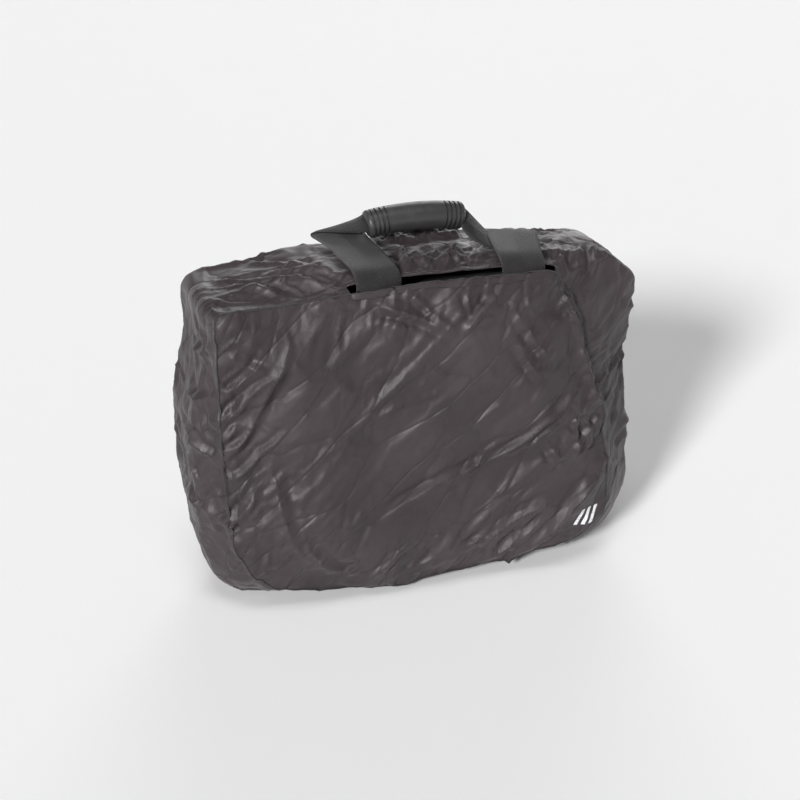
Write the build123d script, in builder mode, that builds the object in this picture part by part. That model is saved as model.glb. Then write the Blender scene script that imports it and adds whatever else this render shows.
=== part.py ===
"""Upright motorcycle tail bag in its rain cover.

A foam-walled luggage bag stands on its base, the way it rides on a passenger seat against a sissy bar.
A loose nylon rain cover wraps it: a front panel seamed to four boxing panels, and an elastic hem that
gathers on the back face and leaves the mounting side open. The carry handle comes up through a slot
behind the front panel's top seam. On the back are a sleeve for the sissy bar, two buckled straps and
four D-rings.

Frame: +Z up, +X to the right seen from the front, the front panel faces -Y. The origin is on the
ground, in the middle of the outline. Millimetres.
"""

import os
from math import cos, radians, sin

from build123d import *

os.makedirs("parts", exist_ok=True)

# ---------------------------------------------------------------- driving dimensions: rain cover
cover_half_width = 263.0
cover_height = 384.0
fabric = 1.6  # coated nylon with its seam allowances, thicker than one bare layer
seam_gap = 0.2
over = 1.0  # how far a cut runs past what it cuts
front_seam_y = -85.0
front_crown = 12.6  # how far the front panel bellies out past its seam
back_hem_y = 76.0

# the cover's closed outline from front to back: depth, half width, bottom, top, then the radii of the
# lower and the upper corners
front_outline = (front_seam_y, 228.0, 8.0, 366.0, 70.0, 26.0)
cover_sections = [
    front_outline,
    (-46.0, cover_half_width, 0.0, cover_height, 92.0, 44.0),
    (40.0, cover_half_width, 0.0, cover_height, 92.0, 44.0),
    (back_hem_y, 236.0, 16.0, 358.0, 72.0, 30.0),
]
# the front panel's belly, from its seam outwards
front_sections = [
    front_outline,
    (front_seam_y - 0.6 * front_crown, 200.0, 28.0, 342.0, 60.0, 24.0),
    (front_seam_y - front_crown, 130.0, 76.0, 280.0, 50.0, 20.0),
]
top_seam, bottom_seam = 336.0, 96.0  # heights where the side panels meet the top and bottom panels
hem_half_width, hem_bottom, hem_top, hem_radius = 192.0, 58.0, 312.0, 50.0
casing_outer, casing_inner, elastic_radius = 4.2, 3.2, 2.4

# ---------------------------------------------------------------- inner bag
bag_half_width, bag_bottom, bag_top = 232.0, 15.0, 352.0
bag_radius_low, bag_radius_high = 72.0, 24.0
bag_front_y, bag_back_y = -79.0, 69.8
wall = 8.0  # foam between two layers of polyester
wall_edge = 6.0
floor_seam, roof_seam = 92.0, 324.0
board = 3.0
base_board_half, base_board_front_gap, base_board_back_gap, base_board_corner = 158.0, 4.0, 8.0, 12.0
back_board_half, back_board_bottom, back_board_top, back_board_corner = 190.0, 92.0, 318.0, 20.0
pad_bottom, pad_half, pad_front, pad_back, pad_corner = 2.0, 168.0, -44.0, 38.0, 18.0

# ---------------------------------------------------------------- zip along the top
zip_y, zip_half_length, zip_gap = -8.0, 206.0, 6.0
tape_width, tape_thick = 15.0, 0.8
coil_width, coil_height, coil_edge, coil_lift = 5.0, 2.4, 1.0, 0.1
slider_length, slider_width, slider_height, slider_corner = 13.0, 11.0, 7.0, 2.5
slider_lift, slider_spacing = 0.2, 2.0
pin_rise, pin_radius = 1.8, 0.8
ear_y, ear_length, ear_thick, ear_margin = 4.6, 4.4, 1.4, 3.2
tab_length, tab_width, tab_thick = 26.0, 7.0, 1.6
tab_overhang, tab_hole_inset, tab_hole_radius = 2.4, 4.1, 1.6
collar_thick, collar_gap, collar_play = 1.0, 0.1, 0.6

# ---------------------------------------------------------------- carry handle
webbing, webbing_thick = 50.0, 2.4
handle_x = 21.0  # the handle's middle
leg_offset = 82.0  # from the handle's middle to the middle of each leg
hinge_y, hinge_z = -80.6, 369.0
anchor_bottom, anchor_gap = 236.0, 0.6
slot_left, slot_right, slot_depth = -94.0, 138.0, 13.0
slot_reach = 30.0  # how far down the slot's cut starts
grip_length, grip_deep, grip_tall, grip_rise, grip_edge = 112.0, 34.0, 31.0, 5.0, 5.0
grip_x, grip_y, grip_z = 8.0, 12.0, 412.0
groove_count, groove_pitch, groove_first, groove_width, groove_depth = 4, 5.2, 7.0, 2.0, 1.7
core_wide, core_thick = 22.0, 7.0

# ---------------------------------------------------------------- mounting side, from the bag outwards
clear = 0.4
sleeve_half_width, sleeve_bottom, sleeve_top = 136.0, 96.0, 284.0
sleeve_gap, sleeve_thick, sleeve_corner = 12.0, 2.0, 10.0
keeper = 1.6  # the buckle's bar under the strap
strap_width, strap_thick = 25.0, 1.8
strap_heights = {"upper": 236.0, "lower": 152.0}
strap_root_x = 204.0
buckle_thick = 9.2
ring_x, ring_heights = 163.0, {"upper": 282.0, "lower": 112.0}
ring_inside, ring_wire, ring_drop, ring_corner, ring_play = 25.0, 3.6, 20.0, 4.0, 0.25
loop_ply, loop_tail, loop_margin = 1.4, 26.0, 1.6

sleeve_inside = bag_back_y + seam_gap + sleeve_gap
sleeve_outside = sleeve_inside + sleeve_thick
strap_y = sleeve_outside + clear + keeper + clear + strap_thick / 2
buckle_inside = strap_y + strap_thick / 2 + clear


def upright(y):
    """A plane facing the front, at depth y, whose own axes are X and Z."""
    return Plane(origin=(0, y, 0), x_dir=(1, 0, 0), z_dir=(0, -1, 0))


def draw_outline(half_width, bottom, top, radius_low, radius_high):
    """Draws a rounded rectangle with two corner radii into the open sketch."""
    with BuildSketch(mode=Mode.PRIVATE) as flat:
        with Locations((0, (bottom + top) / 2)):
            Rectangle(2 * half_width, top - bottom)
        fillet(flat.vertices().group_by(Axis.Y)[0], radius_low)
        fillet(flat.vertices().group_by(Axis.Y)[-1], radius_high)
    add(flat.sketch)


def draw_inset(inset, half_width, bottom, top, radius_low, radius_high):
    """The same outline, smaller all round."""
    draw_outline(half_width - inset, bottom + inset, top - inset, radius_low - inset, radius_high - inset)


def lofted(sections, inset=0.0):
    """A ruled body through upright outlines, each drawn inset by the same amount."""
    with BuildPart() as body:
        for y, *sizes in sections:
            with BuildSketch(upright(y)):
                draw_inset(inset, *sizes)
        loft(ruled=True)
    return body.part


def cut_above(z):
    split(bisect_by=Plane.XY.offset(z), keep=Keep.BOTTOM)


def cut_below(z):
    split(bisect_by=Plane.XY.offset(z), keep=Keep.TOP)


def cut_half(sign):
    """Keeps the right half for +1 and the left half for -1, just short of the middle."""
    keep = Keep.TOP if sign > 0 else Keep.BOTTOM
    split(bisect_by=Plane.YZ.offset(sign * seam_gap / 2), keep=keep)


def block(low, high, mode=Mode.ADD):
    """A box from one corner to the other, in the open part."""
    with Locations(tuple((a + b) / 2 for a, b in zip(low, high))):
        Box(*(b - a for a, b in zip(low, high)), mode=mode)


def write(name, part):
    """Labels a finished piece and writes it as one STEP file."""
    part.label = name
    export_step(part, f"parts/{name}.step")


sides = (("left", -1), ("right", 1))

# ================================================================ rain cover
cover_ring = lofted(cover_sections) - lofted(cover_sections, fabric)
slot_back = front_seam_y + slot_depth
slot_floor = front_outline[3] - slot_reach


def cut_slot():
    """The handle's slot: the top panel stops short of the front seam."""
    slot_low = (slot_left, front_seam_y - over, slot_floor)
    block(slot_low, (slot_right, slot_back, cover_height + over), Mode.SUBTRACT)


with BuildPart() as cover_top_panel:
    add(cover_ring)
    cut_below(top_seam + seam_gap)
    cut_slot()
write("cover_top_panel", cover_top_panel.part)

with BuildPart() as cover_bottom_panel:
    add(cover_ring)
    cut_above(bottom_seam - seam_gap)
write("cover_bottom_panel", cover_bottom_panel.part)

for side, sign in sides:
    with BuildPart() as cover_side:
        add(cover_ring)
        cut_above(top_seam)
        cut_below(bottom_seam)
        cut_half(sign)
    write(f"cover_{side}_panel", cover_side.part)

front_belly = lofted(front_sections[::-1])
with BuildPart() as cover_front_panel:
    add(front_belly.moved(Location((0, -seam_gap, 0))))
    add(front_belly.moved(Location((0, fabric - seam_gap, 0))), mode=Mode.SUBTRACT)
write("cover_front_panel", cover_front_panel.part)

# binding tape covers the seam's raw edges inside the cover, and a facing strip backs the slot's rear edge
tape_inset, tape_ply, binding_width = fabric + 0.4, 0.9, 9.0
facing_inset, facing_width = 0.5, 15.0
tape_ring = lofted(cover_sections[:2], tape_inset) - lofted(cover_sections[:2], tape_inset + tape_ply)

with BuildPart() as seam_binding:
    add(tape_ring)
    split(bisect_by=upright(front_seam_y + binding_width), keep=Keep.TOP)
    cut_slot()
write("seam_binding", seam_binding.part)

with BuildPart() as slot_facing:
    add(tape_ring)
    facing_low = (slot_left, slot_back + facing_inset, slot_floor)
    block(facing_low, (slot_right, slot_back + facing_width, cover_height), Mode.INTERSECT)
write("slot_facing", slot_facing.part)

# the hem turns in across the back face and ends in a casing round the elastic
hem_front = back_hem_y + seam_gap
with BuildPart() as cover_back_hem:
    with BuildSketch(upright(hem_front + fabric)):
        draw_outline(*cover_sections[-1][1:])
    extrude(amount=fabric)
    with BuildSketch(upright(hem_front + fabric / 2)) as mouth:
        with Locations((0, (hem_bottom + hem_top) / 2)):
            RectangleRounded(2 * hem_half_width, hem_top - hem_bottom, hem_radius)
    extrude(amount=fabric, both=True, mode=Mode.SUBTRACT)
    hem_line = mouth.sketch.face().outer_wire()
    casing_start = Plane(origin=hem_line @ 0, z_dir=hem_line % 0)
    with BuildSketch(casing_start):
        Circle(casing_outer)
    sweep(path=hem_line)
    with BuildSketch(casing_start):
        Circle(casing_inner)
    sweep(path=hem_line, mode=Mode.SUBTRACT)
write("cover_back_hem", cover_back_hem.part)

with BuildPart() as hem_elastic:
    with BuildSketch(casing_start):
        Circle(elastic_radius)
    sweep(path=hem_line)
write("hem_elastic", hem_elastic.part)

# a reflective print low on the front panel: three slanted bars
mark_x, mark_z = 186.0, 62.0
bar_count, bar_length, bar_width, bar_pitch, bar_lean = 3, 24.0, 4.0, 9.0, 25.0
print_gap, print_thick = 0.3, 0.4
with BuildPart() as reflective_mark:
    add(front_belly.moved(Location((0, -seam_gap - print_gap - print_thick, 0))))
    add(front_belly.moved(Location((0, -seam_gap - print_gap, 0))), mode=Mode.SUBTRACT)
    with BuildSketch(upright(front_seam_y)):
        with Locations((mark_x, mark_z)):
            with GridLocations(bar_pitch, 1, bar_count, 1):
                SlotOverall(bar_length, bar_width, rotation=90 - bar_lean)
    extrude(amount=2 * front_crown, mode=Mode.INTERSECT)
write("reflective_mark", reflective_mark.part)

# ================================================================ inner bag
bag_outline = (bag_half_width, bag_bottom, bag_top, bag_radius_low, bag_radius_high)
tube_front, tube_back = bag_front_y + wall + seam_gap, bag_back_y - wall - seam_gap

for name, y, outer in (("bag_front_wall", bag_front_y + wall, 0), ("bag_back_wall", bag_back_y, -1)):
    with BuildPart() as end_wall:
        with BuildSketch(upright(y)):
            draw_outline(*bag_outline)
        extrude(amount=wall)
        fillet(end_wall.faces().sort_by(Axis.Y)[outer].edges(), wall_edge)
    write(name, end_wall.part)

with BuildPart() as bag_tube:
    with BuildSketch(upright(tube_back)):
        draw_outline(*bag_outline)
    extrude(amount=tube_back - tube_front)
    with BuildSketch(upright(tube_back)):
        draw_inset(wall, *bag_outline)
    extrude(amount=tube_back - tube_front, mode=Mode.SUBTRACT)

with BuildPart() as bag_floor:
    add(bag_tube.part)
    cut_above(floor_seam)
write("bag_floor", bag_floor.part)

for side, sign in sides:
    with BuildPart() as bag_side:
        add(bag_tube.part)
        cut_below(floor_seam + seam_gap)
        cut_above(roof_seam)
        cut_half(sign)
    write(f"bag_{side}_wall", bag_side.part)

# the roof is two strips with the zip between them
for name, keep, sign in (("front", Keep.TOP, -1), ("back", Keep.BOTTOM, 1)):
    with BuildPart() as bag_roof:
        add(bag_tube.part)
        cut_below(roof_seam + seam_gap)
        split(bisect_by=upright(zip_y + sign * zip_gap / 2), keep=keep)
    write(f"bag_roof_{name}", bag_roof.part)

board_low = bag_bottom + wall + seam_gap
with BuildPart() as base_board:
    base_board_low = (-base_board_half, tube_front + base_board_front_gap, board_low)
    block(base_board_low, (base_board_half, tube_back - base_board_back_gap, board_low + board))
    fillet(base_board.edges().filter_by(Axis.Z), base_board_corner)
write("base_board", base_board.part)

with BuildPart() as back_board:
    back_board_low = (-back_board_half, tube_back - board, back_board_bottom)
    block(back_board_low, (back_board_half, tube_back, back_board_top))
    fillet(back_board.edges().filter_by(Axis.Y), back_board_corner)
write("back_board", back_board.part)

with BuildPart() as base_pad:
    block((-pad_half, pad_front, pad_bottom), (pad_half, pad_back, bag_bottom - seam_gap))
    fillet(base_pad.edges().filter_by(Axis.Z), pad_corner)
write("base_pad", base_pad.part)

# ================================================================ zip
tape_z = bag_top + seam_gap
for name, sign in (("front", -1), ("back", 1)):
    with BuildPart() as zip_tape:
        near, far = sorted((zip_y + sign * seam_gap, zip_y + sign * tape_width))
        block((-zip_half_length, near, tape_z), (zip_half_length, far, tape_z + tape_thick))
    write(f"zip_tape_{name}", zip_tape.part)

coil_z = tape_z + tape_thick + coil_lift
with BuildPart() as zip_coil:
    near, far = zip_y - coil_width / 2, zip_y + coil_width / 2
    block((-zip_half_length, near, coil_z), (zip_half_length, far, coil_z + coil_height))
    fillet(zip_coil.faces().sort_by(Axis.Z)[-1].edges().filter_by(Axis.X), coil_edge)
write("zip_coil", zip_coil.part)

# two sliders meet in the middle when the zip is closed; two ears carry each pull tab's pin
slider_top = coil_z + slider_height
pin_z = slider_top + pin_rise
for side, sign in sides:
    middle = sign * (slider_length + slider_spacing) / 2
    near, far = middle - slider_length / 2, middle + slider_length / 2
    with BuildPart() as zip_slider:
        slider_low = (near, zip_y - slider_width / 2, coil_z + slider_lift)
        block(slider_low, (far, zip_y + slider_width / 2, slider_top))
        fillet(zip_slider.edges().filter_by(Axis.Z), slider_corner)
        tunnel = coil_width / 2 + clear
        tunnel_top = coil_z + coil_height + clear
        tunnel_low = (near - over, zip_y - tunnel, coil_z - over)
        block(tunnel_low, (far + over, zip_y + tunnel, tunnel_top), Mode.SUBTRACT)
        for ear in (-1, 1):
            with Locations((middle, zip_y + ear * ear_y, (slider_top + pin_z) / 2)):
                Box(ear_length, ear_thick, pin_rise + ear_margin)
        with Locations(Plane(origin=(middle, zip_y, pin_z), z_dir=(0, 1, 0))):
            Cylinder(pin_radius, 2 * ear_y)
    write(f"zip_slider_{side}", zip_slider.part)
    with BuildPart() as pull_tab:
        with BuildSketch(Plane.XY.offset(pin_z - tab_thick / 2)):
            with Locations((middle + sign * (tab_length / 2 - tab_overhang), zip_y)):
                SlotOverall(tab_length, tab_width)
            with Locations((middle + sign * (tab_length - tab_overhang - tab_hole_inset), zip_y)):
                Circle(tab_hole_radius, mode=Mode.SUBTRACT)
        extrude(amount=tab_thick)
        with Locations(Plane(origin=(middle, zip_y, pin_z), z_dir=(0, 1, 0))):
            Cylinder(pin_radius + collar_thick, tab_width - collar_play)
            Cylinder(pin_radius + collar_gap, tab_width + 2 * over, mode=Mode.SUBTRACT)
    write(f"pull_tab_{side}", pull_tab.part)

# ================================================================ carry handle
for side, sign in sides:
    leg_x = handle_x + sign * leg_offset
    near, far = leg_x - webbing / 2, leg_x + webbing / 2
    with BuildPart() as handle_anchor:
        anchor_low = (near, hinge_y - webbing_thick / 2, anchor_bottom)
        block(anchor_low, (far, hinge_y + webbing_thick / 2, hinge_z - webbing_thick / 2 - anchor_gap))
    write(f"handle_anchor_{side}", handle_anchor.part)

# each leg lies back over the top, folds across itself and climbs to the grip.
# leg stations: sideways shift, depth, height, lean of the ribbon, its turn in plan
leg_stations = {
    "left": [
        (0.0, hinge_y, hinge_z, 90.0, 0.0),
        (0.0, -79.4, 374.0, 62.0, 0.0),
        (0.0, -73.6, 380.0, 32.0, 0.0),
        (1.0, -46.0, 389.0, 8.0, 1.5),
        (3.0, 34.0, 390.0, 0.0, 1.5),
    ],
    "right": [
        (0.0, hinge_y, hinge_z, 90.0, 0.0),
        (0.2, -79.4, 374.0, 62.0, 4.0),
        (1.6, -73.6, 380.0, 32.0, 12.0),
        (8.0, -46.0, 389.0, 8.0, 18.0),
        (22.0, -14.0, 390.0, 0.0, 22.0),
    ],
}
# riser stations, from the grip outwards: distance past the grip's end, depth, height, tilt, width
riser_stations = {
    "left": [
        (3.4, grip_y, grip_z - 6.0, 58.0, 28.0),
        (14.0, 12.0, 407.0, 44.0, 36.0),
        (36.0, 14.0, 394.4, 0.0, 48.0),
    ],
    "right": [
        (3.4, grip_y, grip_z - 6.0, 58.0, 28.0),
        (40.0, 9.0, 406.0, 36.0, 44.0),
        (82.0, -4.0, 394.4, 0.0, 48.0),
    ],
}
grip_half = grip_length / 2

for side, sign in sides:
    with BuildPart() as handle_leg:
        for shift, y, z, lean, turn in leg_stations[side]:
            across = Vector(cos(radians(turn)), -sign * sin(radians(turn)), 0)
            ahead = Vector(-across.Y, across.X, 0) * cos(radians(lean)) + Vector(0, 0, sin(radians(lean)))
            place = (handle_x + sign * (leg_offset + shift), y, z)
            with BuildSketch(Plane(origin=place, x_dir=across, z_dir=ahead)):
                Rectangle(webbing, webbing_thick)
        loft(ruled=True)
    write(f"handle_leg_{side}", handle_leg.part)

    with BuildPart() as handle_riser:
        for past, y, z, tilt, width in riser_stations[side]:
            across = Vector(0, cos(radians(tilt)), sin(radians(tilt)))
            place = (grip_x + sign * (grip_half + past), y, z)
            with BuildSketch(Plane(origin=place, x_dir=across, z_dir=(sign, 0, 0))):
                Rectangle(width, webbing_thick)
        loft(ruled=True)
    write(f"handle_riser_{side}", handle_riser.part)

# the moulded grip follows a shallow arch, with ring grooves near both ends
grip_arch = ThreePointArc(
    (grip_x - grip_half, grip_y, grip_z - grip_rise),
    (grip_x, grip_y, grip_z),
    (grip_x + grip_half, grip_y, grip_z - grip_rise),
)


def across_grip(distance):
    """The plane across the arch at a distance from the grip's left end, whose y axis is up."""
    share = distance / grip_arch.length
    return Plane(origin=grip_arch @ share, x_dir=(0, -1, 0), z_dir=grip_arch % share)


with BuildPart() as grip:
    with BuildSketch(across_grip(0)):
        Ellipse(grip_deep / 2, grip_tall / 2)
    sweep(path=grip_arch)
    fillet(grip.faces().filter_by(GeomType.PLANE).edges(), grip_edge)
    for n in range(groove_count):
        inward = groove_first + n * groove_pitch
        for distance in (inward, grip_arch.length - inward):
            with BuildSketch(across_grip(distance)):
                Ellipse(grip_deep / 2 + over, grip_tall / 2 + over)
                Ellipse(grip_deep / 2 - groove_depth, grip_tall / 2 - groove_depth, mode=Mode.SUBTRACT)
            extrude(amount=groove_width / 2, both=True, mode=Mode.SUBTRACT)
    with BuildSketch(across_grip(0)):
        Rectangle(core_wide + clear, core_thick + clear)
    sweep(path=grip_arch, mode=Mode.SUBTRACT)
write("grip", grip.part)

with BuildPart() as grip_core:
    with BuildSketch(across_grip(0)):
        Rectangle(core_wide, core_thick)
    sweep(path=grip_arch)
write("grip_core", grip_core.part)

# ================================================================ mounting side
mount_face = bag_back_y + seam_gap
with BuildPart() as sissy_bar_sleeve:
    sleeve_low = (-sleeve_half_width, mount_face, sleeve_bottom)
    block(sleeve_low, (sleeve_half_width, sleeve_outside, sleeve_top))
    fillet(sissy_bar_sleeve.edges().filter_by(Axis.Y).group_by(Axis.Z)[-1], sleeve_corner)
    inside = sleeve_half_width - sleeve_thick
    pocket_low = (-inside, mount_face - over, sleeve_bottom - over)
    block(pocket_low, (inside, sleeve_inside, sleeve_top - sleeve_thick), Mode.SUBTRACT)
write("sissy_bar_sleeve", sissy_bar_sleeve.part)

# side-release buckles: each half has a keeper bar under its strap. The socket stays with the left
# strap and the plug draws out to the right along its own strap.
socket_left, socket_right, plug_left, plug_right = -32.0, 0.0, 0.6, 26.0
socket_half, plug_half, buckle_corner, buckle_edge = 17.0, 12.6, 5.0, 1.2
thumb_x, thumb_length, thumb_depth = -13.0, 13.0, 3.5  # the openings at which the latch arms are squeezed
cavity_inset, cavity_half = 8.0, 2.6
tongue_start, tongue_half_thick, tongue_half_width = -20.0, 1.6, 2.6
arm_start, arm_inset, arm_half_thick, arm_half_width = -17.0, 2.8, 2.0, 2.2
keeper_width, keeper_inset, keeper_root = 7.0, 6.0, 0.5
strap_tail = {"left": 21.0, "right": 8.6}  # how far from the middle each strap ends, under its buckle half
buckle_outside = buckle_inside + buckle_thick
buckle_middle = buckle_inside + buckle_thick / 2
root_y = mount_face + clear + strap_thick / 2
strap_step, strap_slope = sleeve_half_width + 4.0, 12.0
strap_flat = strap_thick / 2 + clear


def add_keeper(x, height):
    """A bar that passes under the strap and joins the buckle's body beside both of its edges."""
    low = (x - keeper_width / 2, strap_y - strap_flat - keeper, height - socket_half)
    block(low, (x + keeper_width / 2, buckle_inside + keeper_root, height + socket_half))
    tunnel_half = strap_width / 2 + clear
    tunnel_low = (x - keeper_width, strap_y - strap_flat, height - tunnel_half)
    block(tunnel_low, (x + keeper_width, strap_y + strap_flat, height + tunnel_half), Mode.SUBTRACT)


for level, height in strap_heights.items():
    for side, sign in sides:
        with BuildPart() as strap:
            with BuildSketch(Plane.XY.offset(height - strap_width / 2)):
                with BuildLine():
                    Polyline(
                        (sign * strap_root_x, root_y),
                        (sign * (strap_step + strap_slope), root_y),
                        (sign * strap_step, strap_y),
                        (sign * strap_tail[side], strap_y),
                    )
                trace(line_width=strap_thick)
            extrude(amount=strap_width)
        write(f"strap_{level}_{side}", strap.part)

    with BuildPart() as socket:
        block(
            (socket_left, buckle_inside, height - socket_half),
            (socket_right, buckle_outside, height + socket_half),
        )
        fillet(socket.edges().filter_by(Axis.Y).group_by(Axis.X)[0], buckle_corner)
        for edge in (-1, 1):
            with Locations((thumb_x, buckle_middle, height + edge * (socket_half + over))):
                Box(thumb_length, buckle_thick + 2 * over, 2 * (thumb_depth + over), mode=Mode.SUBTRACT)
        fillet(socket.faces().sort_by(Axis.Y)[-1].edges(), buckle_edge)
        cavity_low = (socket_left + cavity_inset, buckle_middle - cavity_half, height - plug_half)
        cavity_high = (socket_right + over, buckle_middle + cavity_half, height + plug_half)
        block(cavity_low, cavity_high, Mode.SUBTRACT)
        add_keeper(socket_left + keeper_inset, height)
    write(f"buckle_socket_{level}", socket.part)

    with BuildPart() as plug:
        block(
            (plug_left, buckle_inside, height - socket_half),
            (plug_right, buckle_outside, height + socket_half),
        )
        fillet(plug.edges().filter_by(Axis.Y).group_by(Axis.X)[-1], buckle_corner)
        fillet(plug.faces().sort_by(Axis.Y)[-1].edges(), buckle_edge)
        # the middle tongue and the two latch arms
        prongs = [(tongue_start, tongue_half_thick, height, tongue_half_width)]
        for arm in (-1, 1):
            arm_z = height + arm * (plug_half - arm_inset)
            prongs.append((arm_start, arm_half_thick, arm_z, arm_half_width))
        for start, half_thick, z, half_width in prongs:
            prong_low = (start, buckle_middle - half_thick, z - half_width)
            block(prong_low, (plug_left + over, buckle_middle + half_thick, z + half_width))
        add_keeper(plug_right - keeper_inset, height)
    write(f"buckle_plug_{level}", plug.part)

# D-rings hang from webbing loops sewn at the four corners of the mounting side
eye_radius = ring_wire / 2 + ring_play
ring_y = mount_face + seam_gap + loop_ply + eye_radius
ring_half = ring_inside / 2 + ring_wire / 2
for level, height in ring_heights.items():
    for side, sign in sides:
        x = sign * ring_x
        with BuildPart() as d_ring:
            with BuildLine(Plane(origin=(x, ring_y, height), x_dir=(1, 0, 0), z_dir=(0, -1, 0))) as bow:
                low = -(ring_drop - ring_half)
                top_bar = Line((-ring_half + ring_corner, 0), (ring_half - ring_corner, 0))
                RadiusArc(top_bar @ 1, (ring_half, -ring_corner), ring_corner)
                Line((ring_half, -ring_corner), (ring_half, low))
                ThreePointArc((ring_half, low), (0, low - ring_half), (-ring_half, low))
                Line((-ring_half, low), (-ring_half, -ring_corner))
                RadiusArc((-ring_half, -ring_corner), top_bar @ 0, ring_corner)
            path = bow.wire()
            with BuildSketch(Plane(origin=path @ 0, z_dir=path % 0)):
                Circle(ring_wire / 2)
            sweep(path=path)
        write(f"d_ring_{level}_{side}", d_ring.part)
        loop_half = ring_inside / 2 - loop_margin
        with BuildPart() as ring_loop:
            with BuildSketch(Plane.YZ.offset(x - loop_half)):
                with Locations((ring_y, height)):
                    Circle(eye_radius + loop_ply)
                with Locations((ring_y - eye_radius - loop_ply / 2, height + loop_tail / 2)):
                    Rectangle(loop_ply, loop_tail)
                with Locations((ring_y, height)):
                    Circle(eye_radius, mode=Mode.SUBTRACT)
            extrude(amount=2 * loop_half)
        write(f"ring_loop_{level}_{side}", ring_loop.part)
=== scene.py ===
"""The looks of the upright tail bag in its rain cover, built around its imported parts."""

import bpy
import math
import numpy as np
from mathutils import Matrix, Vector, geometry, noise
from mathutils.bvhtree import BVHTree


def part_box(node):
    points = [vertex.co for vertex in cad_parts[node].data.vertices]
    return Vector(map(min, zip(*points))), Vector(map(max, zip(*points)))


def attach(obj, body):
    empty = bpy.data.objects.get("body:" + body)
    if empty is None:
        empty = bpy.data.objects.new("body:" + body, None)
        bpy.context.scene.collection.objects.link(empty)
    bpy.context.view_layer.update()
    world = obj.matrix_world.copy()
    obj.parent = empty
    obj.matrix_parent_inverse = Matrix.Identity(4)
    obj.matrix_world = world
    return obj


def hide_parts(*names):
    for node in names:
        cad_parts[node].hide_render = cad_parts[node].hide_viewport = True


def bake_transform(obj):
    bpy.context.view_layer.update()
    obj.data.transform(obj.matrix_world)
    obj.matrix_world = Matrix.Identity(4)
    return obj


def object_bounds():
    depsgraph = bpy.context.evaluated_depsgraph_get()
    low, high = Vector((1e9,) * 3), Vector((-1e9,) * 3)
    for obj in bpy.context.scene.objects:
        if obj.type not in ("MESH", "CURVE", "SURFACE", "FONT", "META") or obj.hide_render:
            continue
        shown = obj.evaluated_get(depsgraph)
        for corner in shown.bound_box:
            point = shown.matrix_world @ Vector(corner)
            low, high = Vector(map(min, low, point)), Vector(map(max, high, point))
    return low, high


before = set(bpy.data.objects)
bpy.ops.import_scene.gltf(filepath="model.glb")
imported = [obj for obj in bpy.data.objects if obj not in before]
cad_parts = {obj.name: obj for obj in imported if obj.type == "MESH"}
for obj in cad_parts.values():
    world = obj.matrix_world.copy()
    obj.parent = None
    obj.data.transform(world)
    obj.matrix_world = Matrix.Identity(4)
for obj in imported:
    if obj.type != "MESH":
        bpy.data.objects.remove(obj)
cad_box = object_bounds()
cad_nodes = list(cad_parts.values())
MM = 0.001
SEED_STEPS = (7.31, 3.17, 5.77)  # how far one more on the seed moves through the noise
PULL = np.array((0.74, 0.12, 0.66))  # the way the cloth is drawn, from the bottom left to the top right
PULL /= np.linalg.norm(PULL)


# ---------------------------------------------------------------- small helpers
def mesh_object(name, points, faces, smooth=True):
    """A mesh object of that name from points in metres and faces."""
    mesh = bpy.data.meshes.new(name)
    mesh.from_pydata([tuple(map(float, p)) for p in points], [], [tuple(map(int, f)) for f in faces])
    mesh.validate()
    obj = bpy.data.objects.new(name, mesh)
    bpy.context.scene.collection.objects.link(obj)
    if smooth:
        mesh.shade_smooth()
    return obj


def coordinates(obj):
    """The object's own points as an array."""
    co = np.zeros(len(obj.data.vertices) * 3)
    obj.data.vertices.foreach_get("co", co)
    return co.reshape(-1, 3)


def set_coordinates(obj, co):
    obj.data.vertices.foreach_set("co", np.asarray(co, np.float32).ravel())
    obj.data.update()


def apply_modifiers(obj):
    """Replaces the object's mesh with what its modifiers make of it."""
    graph = bpy.context.evaluated_depsgraph_get()
    mesh = bpy.data.meshes.new_from_object(obj.evaluated_get(graph))
    obj.modifiers.clear()
    obj.data = mesh
    return obj


def smoothstep(a, b, x):
    """0 at a, 1 at b, and an even curve between them; a may be the larger."""
    t = np.clip((x - a) / (b - a), 0, 1)
    return t * t * (3 - 2 * t)


def fractal(points, size, seed, octaves=3):
    """Seeded noise about zero at each point, with features of that size in metres."""
    shift = Vector([seed * step for step in SEED_STEPS])
    return np.array([noise.fractal(Vector(p) / size + shift, 1.0, 2.0, octaves) for p in points])


def along_pull(points, along, across):
    """The points scaled down by one length along the pull and by another across it."""
    run = points @ PULL
    rest = points - run[:, None] * PULL
    return rest / across + (run / along)[:, None] * PULL


def long_folds(points, along, across, seed):
    """Seeded noise drawn out along the pull."""
    return fractal(along_pull(points, along, across), 1.0, seed, 2)


def crease_net(points, along, across, width, seed):
    """A seeded net of thin creases with flat cloth between them, longer along the pull than across it."""
    wander_size, wander = 0.09, 0.028
    wave = [fractal(points, wander_size, seed + k, 2) * wander for k in (1, 2, 3)]
    cells = along_pull(points + np.stack(wave, axis=1), along, across) + seed * 3.7
    out = np.zeros(len(points))
    for i, p in enumerate(cells):
        near, sites = noise.voronoi(Vector(p))
        out[i] = near[1] - near[0]
    q = out * across / width
    hollow, hollow_at = 0.35, 2.2
    return np.exp(-q) - hollow * np.exp(-((q - hollow_at) ** 2))


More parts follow.
